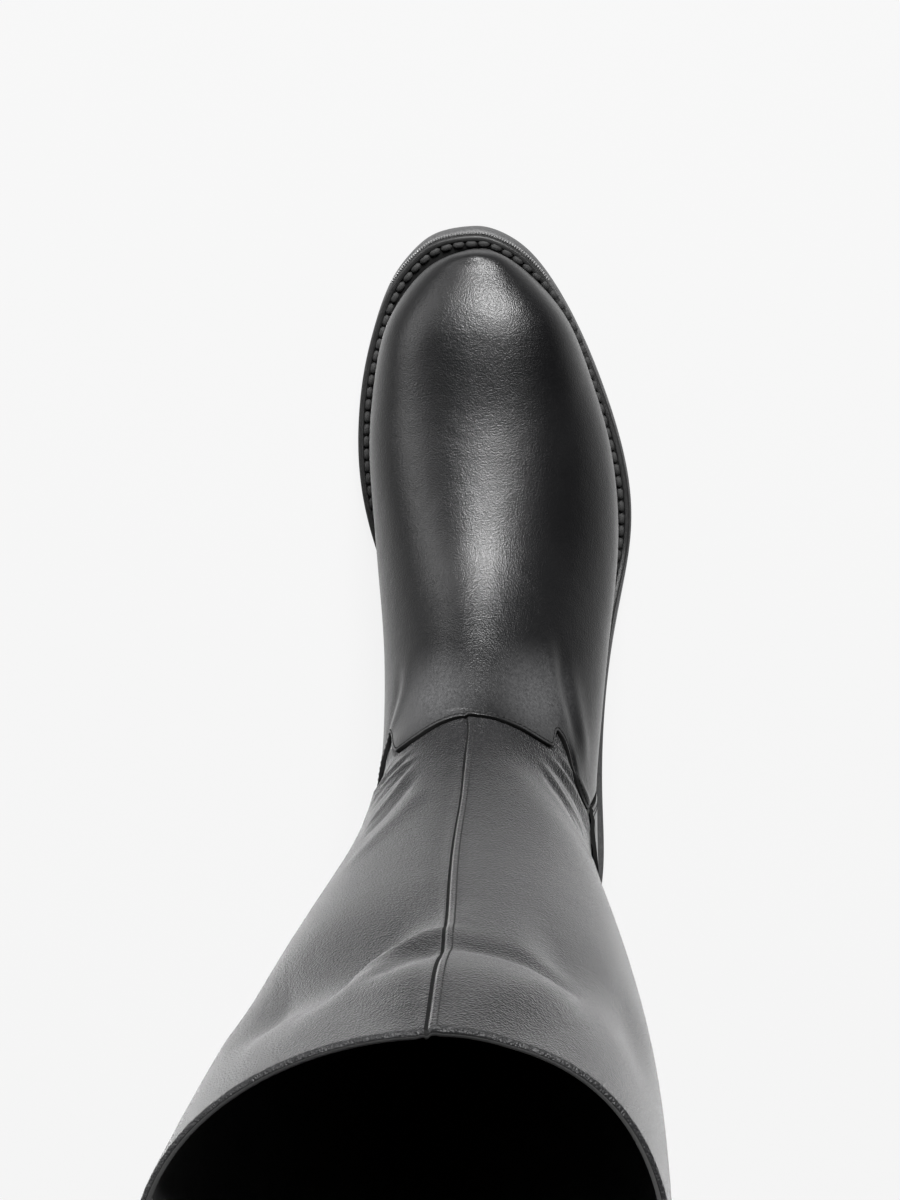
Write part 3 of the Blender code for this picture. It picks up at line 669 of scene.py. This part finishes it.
def build_counter():
    """The counter's wall round the heel, and its stitch lines."""
    start, end = COUNTER_TOP
    deep, place, wide = COUNTER_CHANNEL
    slope = (end[1] - start[1]) / (end[0] - start[0])
    side = np.append(stretches(COUNTER_COLUMNS), COUNTER_END)
    low = GAP + COUNTER_LIFT
    stack = 0
    faces, tops, floors, marks, lines = [], [], [], [], []
    for flip in (False, True):
        v = 1 - side if flip else side
        front = row_at(v, lambda p: p[:, 0] > COUNTER_FRONT)
        top_row = row_at(v, lambda p: p[:, 2] < start[1] + slope * p[:, 0])
        keep = top_row > front + COUNTER_LEAST
        v, front, top_row = v[keep], front[keep], top_row[keep]
        u = front + (top_row - front) * np.linspace(0, 1, COUNTER_ROWS)[:, None]
        v = np.broadcast_to(v, u.shape)
        base, way = outer(u, v), outward(u, v)
        from_front, from_top = (
            near_line(base.reshape(-1, 3), base[row])[0].reshape(u.shape) for row in (0, -1)
        )
        distance = np.minimum(from_front, from_top)
        channel = deep * bell(distance - place, wide)
        raise_by = relief(base, u, v) + low
        top = base + way * (raise_by + OVERLAY - rounded(distance, EDGE_ROUND) - channel)[..., None]
        tops.append(top.reshape(-1, 3))
        floors.append((base + way * raise_by[..., None]).reshape(-1, 3))
        marks.append((distance < EDGE_PAINT).ravel())
        grid = sheet_faces(*u.shape)
        faces.append((grid[:, ::-1] if flip else grid) + stack)
        stack += u.size
        for offset in COUNTER_STITCH_LINES:
            lines.append(offset_line(top, from_top, offset))
            lines.append(offset_line(top[::-1], from_front[::-1], offset))
    top, floor, faces, marked = (np.concatenate(part) for part in (tops, floors, faces, marks))
    return shell("counter_leather", top, floor, faces, leather, leather, "counter", marked), lines


WAY_STEP = 0.2


def even(line, pitch):
    """Places along a line of points at an even pitch, with the way it runs."""
    goal = np.arange(pitch / 2, lengths_along(line)[-1], pitch)
    way = points_at(line, goal + WAY_STEP) - points_at(line, goal - WAY_STEP)
    return points_at(line, goal), unit(way)


def snapped(obj, spots):
    """The nearest places on a piece, with its normals there, in millimetres."""
    tree = BVHTree.FromObject(obj, bpy.context.evaluated_depsgraph_get())
    hits = [tree.find_nearest(Vector((p - ORIGIN) * MM)) for p in spots]
    places = np.array([h[0] for h in hits]) / MM + ORIGIN
    return places, np.array([h[1] for h in hits])


STITCH_PITCH = 2.2
STITCH_SIZE = (1.6, 0.45, 0.4)
STITCH_TAPER = 0.9
STITCH_RINGS = 7
STITCH_SIDES = 8
# the dark line beside the stitches, painted shade of their groove: width and height, the step between
# its places, and its corners
STITCH_SHADE_LINE = (0.5, 0.16)
STITCH_SHADE_STEP = 0.8
STITCH_SHADE_SIDES = 6


def thread(name, spots, along, up, size, mat, sink=0.15, square=4):
    """Stitches as one joined piece: size is length, width and height, with the ends sunk in."""
    length, width, height = size
    side = unit(np.cross(up, along))
    up = np.cross(along, side)
    t = np.linspace(-1, 1, STITCH_RINGS)
    ring = np.arange(STITCH_SIDES) * 2 * math.pi / STITCH_SIDES
    thick = np.sqrt(np.clip(1 - STITCH_TAPER * np.abs(t) ** square, 0, None))
    arch = 0.5 * height * (1 - t * t) - sink
    points = (
        spots[:, None, None] + along[:, None, None] * (t * length / 2)[:, None, None]
        + side[:, None, None] * (thick[:, None] * np.cos(ring) * width / 2)[..., None]
        + up[:, None, None] * (thick[:, None] * np.sin(ring) * height / 2 + arch[:, None])[..., None]
    )
    one = ring_faces(STITCH_RINGS, STITCH_SIDES)
    count = STITCH_RINGS * STITCH_SIDES
    faces = [tuple(n * count + i for i in face) for n in range(len(spots)) for face in one]
    piece(name, points.reshape(-1, 3), faces, [mat])


def tube(name, line, up, across, height, mat, slot, node=None, sides=10):
    """A flattened cord along a line of points."""
    way = unit(np.gradient(line, axis=0))
    side = unit(np.cross(way, up))
    up = np.cross(side, way)
    ring = np.arange(sides) * 2 * math.pi / sides
    points = (
        line[:, None] + side[:, None] * (np.cos(ring) * across / 2)[:, None]
        + up[:, None] * (np.sin(ring) * height / 2)[:, None]
    )
    piece(name, points.reshape(-1, 3), ring_faces(len(line), sides), [mat], node)


def ring_faces(sections, corners):
    """Faces of a tube of sections with the same number of corners, closed at both ends."""
    faces = []
    for i in range(sections - 1):
        for j in range(corners):
            a, b, k = i * corners, (i + 1) * corners, (j + 1) % corners
            faces.append((a + j, a + k, b + k, b + j))
    faces.append(tuple(range(corners))[::-1])
    faces.append(tuple(range((sections - 1) * corners, sections * corners)))
    return faces


SEAM_UNDER = 0.2
SEAM_PLACES = 260
SEAM_LIFT = -0.25
SEAM_RIDGE = (1.0, 1.0)
SEAM_PITCH = 1.9
SEAM_STITCH = (1.5, 0.5, 0.5)


def build_front_seam(upper):
    """The ridge up the front of the shaft, and the stitches in the groove beside it."""
    u = np.linspace(SEAM_START - SEAM_UNDER, COLLAR_EDGE, SEAM_PLACES)
    v = np.full(len(u), 0.5)
    base, way = outer(u, v), outward(u, v)
    line = base + way * (relief(base, u, v) + SEAM_LIFT)[:, None]
    tube("front_seam_ridge", line, way, *SEAM_RIDGE, shaft_leather, "leather", "front_seam")
    spots, along = even(line, SEAM_PITCH)
    share = np.linspace(0, 1, len(spots))
    front = np.stack([np.interp(share, np.linspace(0, 1, len(u)), way[:, c]) for c in range(3)], 1)
    spots, up = snapped(upper, spots + np.cross(along, front) * SEAM_GROOVE_PLACE)
    thread("front_seam_stitches", spots, along, up, SEAM_STITCH, thread_mat)


# across the welt from its far edge: distance in and height, and the rows with a dark face before them,
# which is painted shade in the channel by the upper
WELT_PROFILE = (
    (None, WELT_BASE), (None, WELT_TOP - 0.9), (4.6, WELT_TOP - 0.9), (2.2, WELT_TOP - 0.9),
    (2.0, WELT_TOP - 0.1), (1.7, WELT_TOP), (0.6, WELT_TOP - 0.05), (0.2, WELT_TOP - 0.4),
    (0.0, WELT_TOP - 0.9), (0.0, WELT_BASE + 0.4), (0.3, WELT_BASE),
)
WELT_SHADE_ROWS = (2, 3)
WELT_PLACES = 230
WELT_ENDS = (134.0, 116.0)
WELT_ROOT = 3.0
WELT_SMOOTHING = 7
WELT_REACH = 0.9
WELT_INSET = 0.4
WELT_STITCH_PLACE = 3.3
WELT_STITCH_ROOM = 1.0
WELT_STITCH_SUNK = 0.6
WHEEL_START = 265.0
WHEEL_OUT = 0.4
WHEEL_RISE = 0.35
# stitches on the welt and beads on its edge round the toe: pitch, size, and how square they are
WELT_STITCHES = (4.7, (4.25, 2.2, 1.1), 12)
WHEEL_BEADS = (1.05, (0.95, 1.2, 1.4), 2)


def by_length(side, count, sign, end):
    """A side's outline up to a place along the sole, shared out evenly: sign is -1 from the toe."""
    length = np.interp(sign * end, sign * side[:, 0], lengths_along(side))
    return points_at(side, np.linspace(0, length, count))


def welt_edges():
    """The welt's edge at the upper and its far edge, from the inside waist round the toe."""
    rim = grown(sole_outline(), -WELT_INSET, -LIP_WIDE)
    root = np.concatenate(grown(feather_outline(), WELT_ROOT))
    ways = [by_length(side, WELT_PLACES, -1, end) for side, end in zip(rim, WELT_ENDS)]
    far = np.concatenate([ways[0][::-1], ways[1][1:]])
    near = np.array([root[np.argmin(np.linalg.norm(root - place, axis=1))] for place in far])
    kernel = np.ones(WELT_SMOOTHING) / WELT_SMOOTHING
    half = WELT_SMOOTHING // 2
    for c in (0, 1):
        near[half:-half, c] = np.convolve(near[:, c], kernel, "valid")
    return near, far


def sole_up(x):
    """The way square to the underside."""
    a = tilt(x)
    return np.stack([-np.sin(a), np.zeros_like(a), np.cos(a)], -1)


def build_welt():
    """The welt with its stitch channel, painted dark as its shade, its stitches, and the beads on its
    edge.
    """
    near, far = welt_edges()
    across = far - near
    wide = np.linalg.norm(across, axis=1, keepdims=True)
    across /= wide
    corners = []
    for inset, height in WELT_PROFILE:
        flat = near if inset is None else far - across * np.minimum(inset, wide * WELT_REACH)
        corners.append(on_sole(*flat.T, height))
    points = np.stack(corners, 1)
    # painted shade: the channel's faces take the dark edge paint
    kinds = [int(row in WELT_SHADE_ROWS) for row in range(len(corners))]
    kinds = (kinds[1:] + kinds[:1]) * (len(near) - 1) + [0, 0]
    faces = ring_faces(len(near), len(corners))
    piece("welt_strip", points.reshape(-1, 3), faces, [welt_rubber, edge_paint_and_shade], "welt", kinds)
    flat = far - across * np.clip(wide - WELT_STITCH_ROOM, 0, WELT_STITCH_PLACE)
    line = on_sole(*flat.T, WELT_TOP - WELT_STITCH_SUNK)
    bead = on_sole(*(far + across * WHEEL_OUT).T, WELT_BASE + WHEEL_RISE)[far[:, 0] > WHEEL_START]
    for name, way, (pitch, size, square), mat in (
        ("welt_stitches", line, WELT_STITCHES, welt_thread),
        ("edge_wheeling", bead, WHEEL_BEADS, glint_rubber),
    ):
        spots, along = even(way, pitch)
        thread(name, spots, along, sole_up(spots[:, 0]), size, mat, 0.0, square)


# the outsole's edge from below: height and inset, and how much lower and further in at the toe's lip
OUTSOLE_LEVELS = (
    (0.0, 1.6, 0.0, 0.0), (0.15, 0.9, 0.0, 0.0), (0.5, 0.4, 0.0, 0.0), (1.1, 0.05, 0.0, 0.0),
    (2.0, 0.0, 0.0, 0.0), (5.6, 0.0, 0.8, 0.0), (6.3, 0.1, 1.0, 0.1), (6.8, 0.4, 0.7, 0.4),
    (7.0, 1.0, 0.0, LIP_WIDE),
)
OUTSOLE_PLACES = 220


def build_outsole():
    """The outsole as a plate that follows the sole's bend."""
    ease = (1 - np.cos(np.linspace(0, math.pi, OUTSOLE_PLACES))) / 2
    lines = []
    for height, inset, toe_drop, toe_inset in OUTSOLE_LEVELS:
        edge = grown(sole_outline(), -inset, -toe_inset)
        x = edge[0][-1, 0] + (edge[0][0, 0] - edge[0][-1, 0]) * ease
        level = height - toe_drop * toe_share(x)
        lines.append([on_sole(x, np.interp(-x, -side[:, 0], side[:, 1]), level) for side in edge])
    corners = [line[0] for line in lines] + [line[1] for line in lines[::-1]]
    points = np.stack(corners, 1).reshape(-1, 3)
    faces = ring_faces(OUTSOLE_PLACES, len(corners))
    piece("outsole_body", points, faces, [rubber], "outsole")


# the heel from below: height and inset, with the fine lines of its top piece and its layers
HEEL_LEVELS = (
    (0.0, 4.0), (0.2, 3.3), (0.8, 2.8), (5.7, 2.4), (6.0, 2.55), (6.3, 2.9), (6.6, 2.55), (6.9, 2.35),
    (14.6, 1.7), (14.9, 1.95), (15.2, 1.65), (22.6, 1.0), (HEEL_HEIGHT - JOINT_GAP, 1.3),
)
HEEL_RAKE = 0.05
HEEL_PLACES = 60
BREAST_PLACES = 25
BREAST_CURVE = 5.0


def build_heel():
    """The heel block, with its hollow breast."""
    share = np.linspace(0, 1, BREAST_PLACES)[1:-1, None]
    rings = []
    for height, inset in HEEL_LEVELS:
        end = HEEL_LENGTH - HEEL_RAKE * height
        left, right = (
            by_length(side[::-1], HEEL_PLACES, 1, end) for side in grown(sole_outline(), -inset)
        )
        breast = right[-1] + (left[-1] - right[-1]) * share
        breast[:, 0] -= BREAST_CURVE * np.sin(math.pi * share[:, 0])
        loop = np.concatenate([right, breast, left[:0:-1]])
        rings.append(np.column_stack([loop, np.full(len(loop), height)]))
    points = np.array(rings)
    faces = ring_faces(len(rings), points.shape[1])
    piece("heel_block", points.reshape(-1, 3), faces, [rubber], "heel")


# materials, from noise in the boot's own frame: scales in features a metre, depths in metres
NOISE = "ShaderNodeTexNoise"
NOISE_RANGE = (0.25, 0.75)
TINT_RANGE = (0.3, 0.7)
WHITE = (1.0, 1.0, 1.0, 1.0)
# a colour mix's sockets for its share and its two colours, and its result
MIX_INPUTS = (0, 6, 7)
MIX_RESULT = 2


def shader(name, rough, **sockets):
    """A material with its node tree and its shader, and values on the shader's sockets."""
    mat = bpy.data.materials.new(name)
    mat.use_nodes = True
    bsdf = mat.node_tree.nodes["Principled BSDF"]
    bsdf.inputs["Roughness"].default_value = rough
    for key, value in sockets.items():
        bsdf.inputs[key.replace("_", " ")].default_value = value
    return mat, mat.node_tree, bsdf


def own_place(tree):
    """Places in the boot's own frame."""
    coords = tree.nodes.get("Texture Coordinate") or tree.nodes.new("ShaderNodeTexCoord")
    return coords.outputs["Object"]


def texture(tree, kind, scale, **settings):
    """A texture node in the boot's frame."""
    node = tree.nodes.new(kind)
    node.inputs["Scale"].default_value = scale
    for key, value in settings.items():
        if key in node.inputs:
            node.inputs[key].default_value = value
        else:
            setattr(node, key, value)
    tree.links.new(own_place(tree), node.inputs["Vector"])
    return node


def bump(tree, height, strength, depth, under=None):
    """A bump of the surface, over another one where that is given."""
    node = tree.nodes.new("ShaderNodeBump")
    node.inputs["Strength"].default_value = strength
    node.inputs["Distance"].default_value = depth
    tree.links.new(height, node.inputs["Height"])
    if under is not None:
        tree.links.new(under.outputs["Normal"], node.inputs["Normal"])
    return node


def map_range(tree, source, *ends):
    """A value's range turned into another: low and high before, low and high after."""
    node = tree.nodes.new("ShaderNodeMapRange")
    for name, value in zip(("From Min", "From Max", "To Min", "To Max"), ends):
        node.inputs[name].default_value = value
    tree.links.new(source, node.inputs["Value"])
    return node


def faded(tree, place, *ends):
    """A value that changes softly with the distance from a place."""
    reach = tree.nodes.new("ShaderNodeVectorMath")
    reach.operation = "DISTANCE"
    reach.inputs[1].default_value = place
    tree.links.new(own_place(tree), reach.inputs[0])
    fade = map_range(tree, reach.outputs["Value"], *ends)
    fade.interpolation_type = "SMOOTHSTEP"
    return fade.outputs["Result"]


def tint(tree, source, dark, light):
    """A noise turned into a colour between two, or between two greys."""
    node = tree.nodes.new("ShaderNodeValToRGB")
    for element, position, colour in zip(node.color_ramp.elements, TINT_RANGE, (dark, light)):
        element.position = position
        element.color = (*np.broadcast_to(colour, 3), 1)
    tree.links.new(source, node.inputs["Fac"])
    return node.outputs["Color"]


# places on the upper where the vamp flexes beside the throat, round which a lighter, grained base colour
# is painted sheen
SHEEN_PAINT_PLACES = ((9.75, 0.425), (9.75, 0.630))
SHEEN_PAINT_REACH = 26.0
SHEEN_PAINT_DARK = (0.019, 0.019, 0.0195)
SHEEN_PAINT_LIGHT = (0.043, 0.043, 0.044)


def with_painted_sheen(tree, colour, grain):
    """A colour that turns lighter and shows its grain round the flexing places: painted sheen."""
    painted_sheen = tint(tree, grain, SHEEN_PAINT_DARK, SHEEN_PAINT_LIGHT)
    for u, v in SHEEN_PAINT_PLACES:
        place = (outer(u, v) - ORIGIN) * MM
        share = faded(tree, place, 0.0, SHEEN_PAINT_REACH * MM, 1.0, 0.0)
        mix = tree.nodes.new("ShaderNodeMix")
        mix.data_type = "RGBA"
        for socket, source in zip(MIX_INPUTS, (share, colour, painted_sheen)):
            tree.links.new(source, mix.inputs[socket])
        colour = mix.outputs[MIX_RESULT]
    return colour


LEATHER_UNEVEN = np.array((-0.05, 0.06))
RUBBER_UNEVEN = np.array((-0.07, 0.08))
FINE_SHARE = 0.7


def dress(tree, bsdf, normal, colour, patches=None, rough=()):
    """A shader with its bump, its colour and, where given, patches of two roughnesses."""
    tree.links.new(normal.outputs["Normal"], bsdf.inputs["Normal"])
    tree.links.new(colour, bsdf.inputs["Base Color"])
    if patches is not None:
        gloss = map_range(tree, patches, *NOISE_RANGE, *rough)
        tree.links.new(gloss.outputs["Result"], bsdf.inputs["Roughness"])


def make_leather(name, dark, light, grain, rough, gloss, sheen, pebbles=1900.0, paint_sheen=False):
    """Smooth calf: fine pebbles, faint pores, soft unevenness and a thin polish."""
    mat, tree, bsdf = shader(
        name, rough, Specular_IOR_Level=gloss, Sheen_Weight=sheen, Sheen_Roughness=0.4
    )
    pebble = texture(tree, "ShaderNodeTexVoronoi", pebbles, feature="SMOOTH_F1", Smoothness=0.6)
    wrinkle = texture(tree, NOISE, scale=1100.0, Detail=3.0, Roughness=0.6).outputs["Fac"]
    uneven = texture(tree, NOISE, scale=70.0, Detail=2.0).outputs["Fac"]
    cloud = texture(tree, NOISE, scale=28.0, Detail=3.0).outputs["Fac"]
    soft = bump(tree, uneven, strength=0.25, depth=0.0012)
    fine = bump(tree, wrinkle, strength=grain * FINE_SHARE, depth=0.0004, under=soft)
    coarse = bump(tree, pebble.outputs["Distance"], strength=grain, depth=0.0003, under=fine)
    colour = tint(tree, cloud, dark, light)
    # painted sheen: a lighter base colour round the vamp's flexing places
    if paint_sheen:
        colour = with_painted_sheen(tree, colour, wrinkle)
    dress(tree, bsdf, coarse, colour, wrinkle, rough + LEATHER_UNEVEN)
    return mat


def make_rubber(name, dark, light, grain, rough, gloss):
    """Rubber or edge paint: specks, and scuffs that change its gloss."""
    mat, tree, bsdf = shader(name, rough, Specular_IOR_Level=gloss)
    speck = texture(tree, NOISE, scale=1600.0, Detail=4.0, Roughness=0.7).outputs["Fac"]
    scuff = texture(tree, NOISE, scale=160.0, Detail=5.0, Roughness=0.65).outputs["Fac"]
    soft = bump(tree, scuff, strength=0.2, depth=0.0006)
    fine = bump(tree, speck, strength=grain, depth=0.0004, under=soft)
    dress(tree, bsdf, fine, tint(tree, speck, dark, light), scuff, rough + RUBBER_UNEVEN)
    return mat


def make_thread(name, dark, light):
    """Waxed thread with its twist."""
    mat, tree, bsdf = shader(name, rough=0.7, Specular_IOR_Level=0.2)
    twist = texture(tree, NOISE, scale=2600.0, Detail=2.0).outputs["Fac"]
    fine = bump(tree, twist, strength=0.5, depth=0.0003)
    dress(tree, bsdf, fine, tint(tree, twist, dark, light))
    return mat


# the studio, in metres: the camera sees an even floor and wall, and the boot mirrors a lit table
FLOOR_GLOW = 0.845
FLOOR_COLOUR = (0.02, 0.02, 0.02, 1.0)
FLOOR_SIZE = 24.0
FLOOR_DROP = 0.0004
WALL_SIDES = 48
WALL_FOOT = -1.0
TABLE_DROP = 0.0003
TABLE_MIDDLE = (0.095, 0.02, 0.0)
# distances where its glow starts and ends to dim, and the glow there
TABLE_FADE = (0.34, 0.60, 0.86, 0.04)
WORLD_GLOW = 0.02
LIGHT_AIM = Vector((0.12, 0.005, 0.05))
# name, azimuth, elevation, distance, size and power
LIGHTS = (
    ("front_box", -11, 45, 2.2, (0.8, 0.8), 195),
    ("inner_side_box", 58, 24, 2.2, (2.2, 0.75), 60),
)


def make_pale(name):
    """An even pale glow for floor, wall and table."""
    mat, tree, bsdf = shader(name, rough=0.9, Specular_IOR_Level=0.05)
    bsdf.inputs["Base Color"].default_value = FLOOR_COLOUR
    bsdf.inputs["Emission Color"].default_value = WHITE
    bsdf.inputs["Emission Strength"].default_value = FLOOR_GLOW
    return mat, tree, bsdf


def make_table():
    """The glow that the boot mirrors: a lit table, dim further out."""
    mat, tree, bsdf = make_pale("lit_table")
    tree.links.new(faded(tree, TABLE_MIDDLE, *TABLE_FADE), bsdf.inputs["Emission Strength"])
    return mat


def placed(name, data):
    """A new object in the scene."""
    obj = bpy.data.objects.new(name, data)
    scene.collection.objects.link(obj)
    return obj


def stage_piece(name, points, faces, mat, drop):
    """A piece of the studio, which isn't part of the boot."""
    mesh = bpy.data.meshes.new(name)
    mesh.from_pydata(points, [], faces)
    mesh.materials.append(mat)
    obj = placed(name, mesh)
    obj.location.z = -drop
    return obj


def area_light(name, azimuth, elevation, distance, size, power):
    """A soft box aimed at the boot's foot: azimuth from the toe towards the inner side, in degrees."""
    light = bpy.data.lights.new(name, "AREA")
    light.shape = "RECTANGLE"
    light.size, light.size_y = size
    light.energy = power
    obj = placed(name, light)
    a, e = math.radians(azimuth), math.radians(elevation)
    way = Vector((math.cos(e) * math.cos(a), math.cos(e) * math.sin(a), math.sin(e)))
    obj.location = LIGHT_AIM + way * distance
    obj.rotation_euler = way.to_track_quat("Z", "Y").to_euler()
    obj.visible_camera = False


def make_studio():
    """Floor, wall, lit table, soft boxes and a faint world."""
    h = FLOOR_SIZE / 2
    sheet = [(-h, -h, 0), (h, -h, 0), (h, h, 0), (-h, h, 0)]
    turns = np.linspace(0, 2 * math.pi, WALL_SIDES, endpoint=False)
    post = [(h * math.cos(a), h * math.sin(a), height) for a in turns for height in (WALL_FOOT, h)]
    panels = [(i, (i + 2) % len(post), (i + 3) % len(post), i + 1) for i in range(0, len(post), 2)]
    pale = make_pale("pale_floor")[0]
    for seen in (
        stage_piece("floor", sheet, [(0, 1, 2, 3)], pale, FLOOR_DROP),
        stage_piece("studio_wall", post, panels, pale, 0.0),
    ):
        seen.visible_diffuse = seen.visible_glossy = seen.visible_shadow = False
    table = stage_piece("lit_table", sheet, [(0, 1, 2, 3)], make_table(), TABLE_DROP)
    table.visible_camera = table.visible_shadow = False
    world = bpy.data.worlds.new("studio")
    world.use_nodes = True
    sky = world.node_tree.nodes["Background"].inputs
    sky["Color"].default_value = WHITE
    sky["Strength"].default_value = WORLD_GLOW
    scene.world = world
    for light in LIGHTS:
        area_light(*light)
    scene.view_settings.view_transform = "Standard"
    scene.view_settings.look = "None"


# the camera, worked out from the photo's outlines: places in metres, roll in degrees
CAMERA_PLACE = (0.248, -0.0575, 1.000)
CAMERA_AIM = (0.1045, 0.018, 0.030)
CAMERA_ROLL = -1.6
FOCAL_PIXELS = 2630.0
PHOTO_HEIGHT = 1200.0
SENSOR = 36.0


def make_camera():
    """The camera at the photo's angle, with the toe up in the frame."""
    data = bpy.data.cameras.new("camera")
    data.sensor_fit = "VERTICAL"
    data.sensor_height = SENSOR
    data.lens = FOCAL_PIXELS * SENSOR / PHOTO_HEIGHT
    obj = placed("camera", data)
    place = Vector(CAMERA_PLACE)
    look = (Vector(CAMERA_AIM) - place).normalized()
    right = look.cross(Vector((1, 0, 0))).normalized()
    top = right.cross(look)
    a = math.radians(CAMERA_ROLL)
    right, top = right * math.cos(a) + top * math.sin(a), top * math.cos(a) - right * math.sin(a)
    turn = Matrix((right, top, -look)).transposed().to_4x4()
    obj.matrix_world = Matrix.Translation(place) @ turn
    bpy.context.scene.camera = obj


boot = bpy.data.collections.new("riding_boot_looks")
scene.collection.children.link(boot)
make_camera()
leather = make_leather(
    "black_calf", (0.0015, 0.0015, 0.0017), (0.0030, 0.0030, 0.0032),
    grain=0.28, rough=0.325, gloss=0.19, sheen=0.05, pebbles=2200.0, paint_sheen=True,
)
shaft_leather = make_leather(
    "shaft_calf", (0.0045, 0.0045, 0.0049), (0.0080, 0.0080, 0.0084),
    grain=1.0, rough=0.42, gloss=0.13, sheen=0.16, pebbles=1600.0,
)
plain = {"grain": 0.2, "rough": 0.6, "gloss": 0.2, "sheen": 0.1}
lining = make_leather("black_lining", 0.02, 0.03, **plain)
insole_mat = make_leather("insole_leather", (0.10, 0.07, 0.05), (0.16, 0.11, 0.075), **plain)
rubber = make_rubber("black_sole", 0.015, (0.045, 0.045, 0.046), grain=0.4, rough=0.5, gloss=0.4)
welt_rubber = make_rubber("black_welt", 0.003, 0.009, grain=0.3, rough=0.45, gloss=0.25)
# painted glint: the beads' grey colour stands for the glints of the wheeled edge, on top of their real
# gloss
glint_rubber = make_rubber("polished_edge_painted_glint", 0.05, 0.12, grain=0.2, rough=0.25, gloss=0.6)
# edge paint on cut edges, also used as painted shade in grooves and the welt's channel
edge_paint_and_shade = make_rubber("edge_paint_and_shade", 0.002, 0.004, grain=0.1, rough=0.8, gloss=0.1)
thread_mat = make_thread("waxed_thread", 0.004, 0.012)
welt_thread = make_thread("welt_thread", 0.006, 0.016)

upper = build_upper()
overlays = {"vamp": build_vamp(), "counter": build_counter()}
build_front_seam(upper)
build_welt()
build_outsole()
build_heel()
for name, (obj, lines) in overlays.items():
    for number, line in enumerate(lines, 1):
        spots, along = even(line, STITCH_PITCH)
        spots, up = snapped(obj, spots)
        thread("%s_stitches_%d" % (name, number), spots, along, up, STITCH_SIZE, thread_mat)
        # painted shade: a dark cord along each stitch line
        spots, up = snapped(obj, even(line, STITCH_SHADE_STEP)[0])
        title = "%s_painted_stitch_shade_%d" % (name, number)
        tube(title, spots, up, *STITCH_SHADE_LINE, edge_paint_and_shade, "leather", sides=STITCH_SHADE_SIDES)
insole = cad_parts["insole"]
insole.data.materials.clear()
insole.data.materials.append(insole_mat)
make_studio()
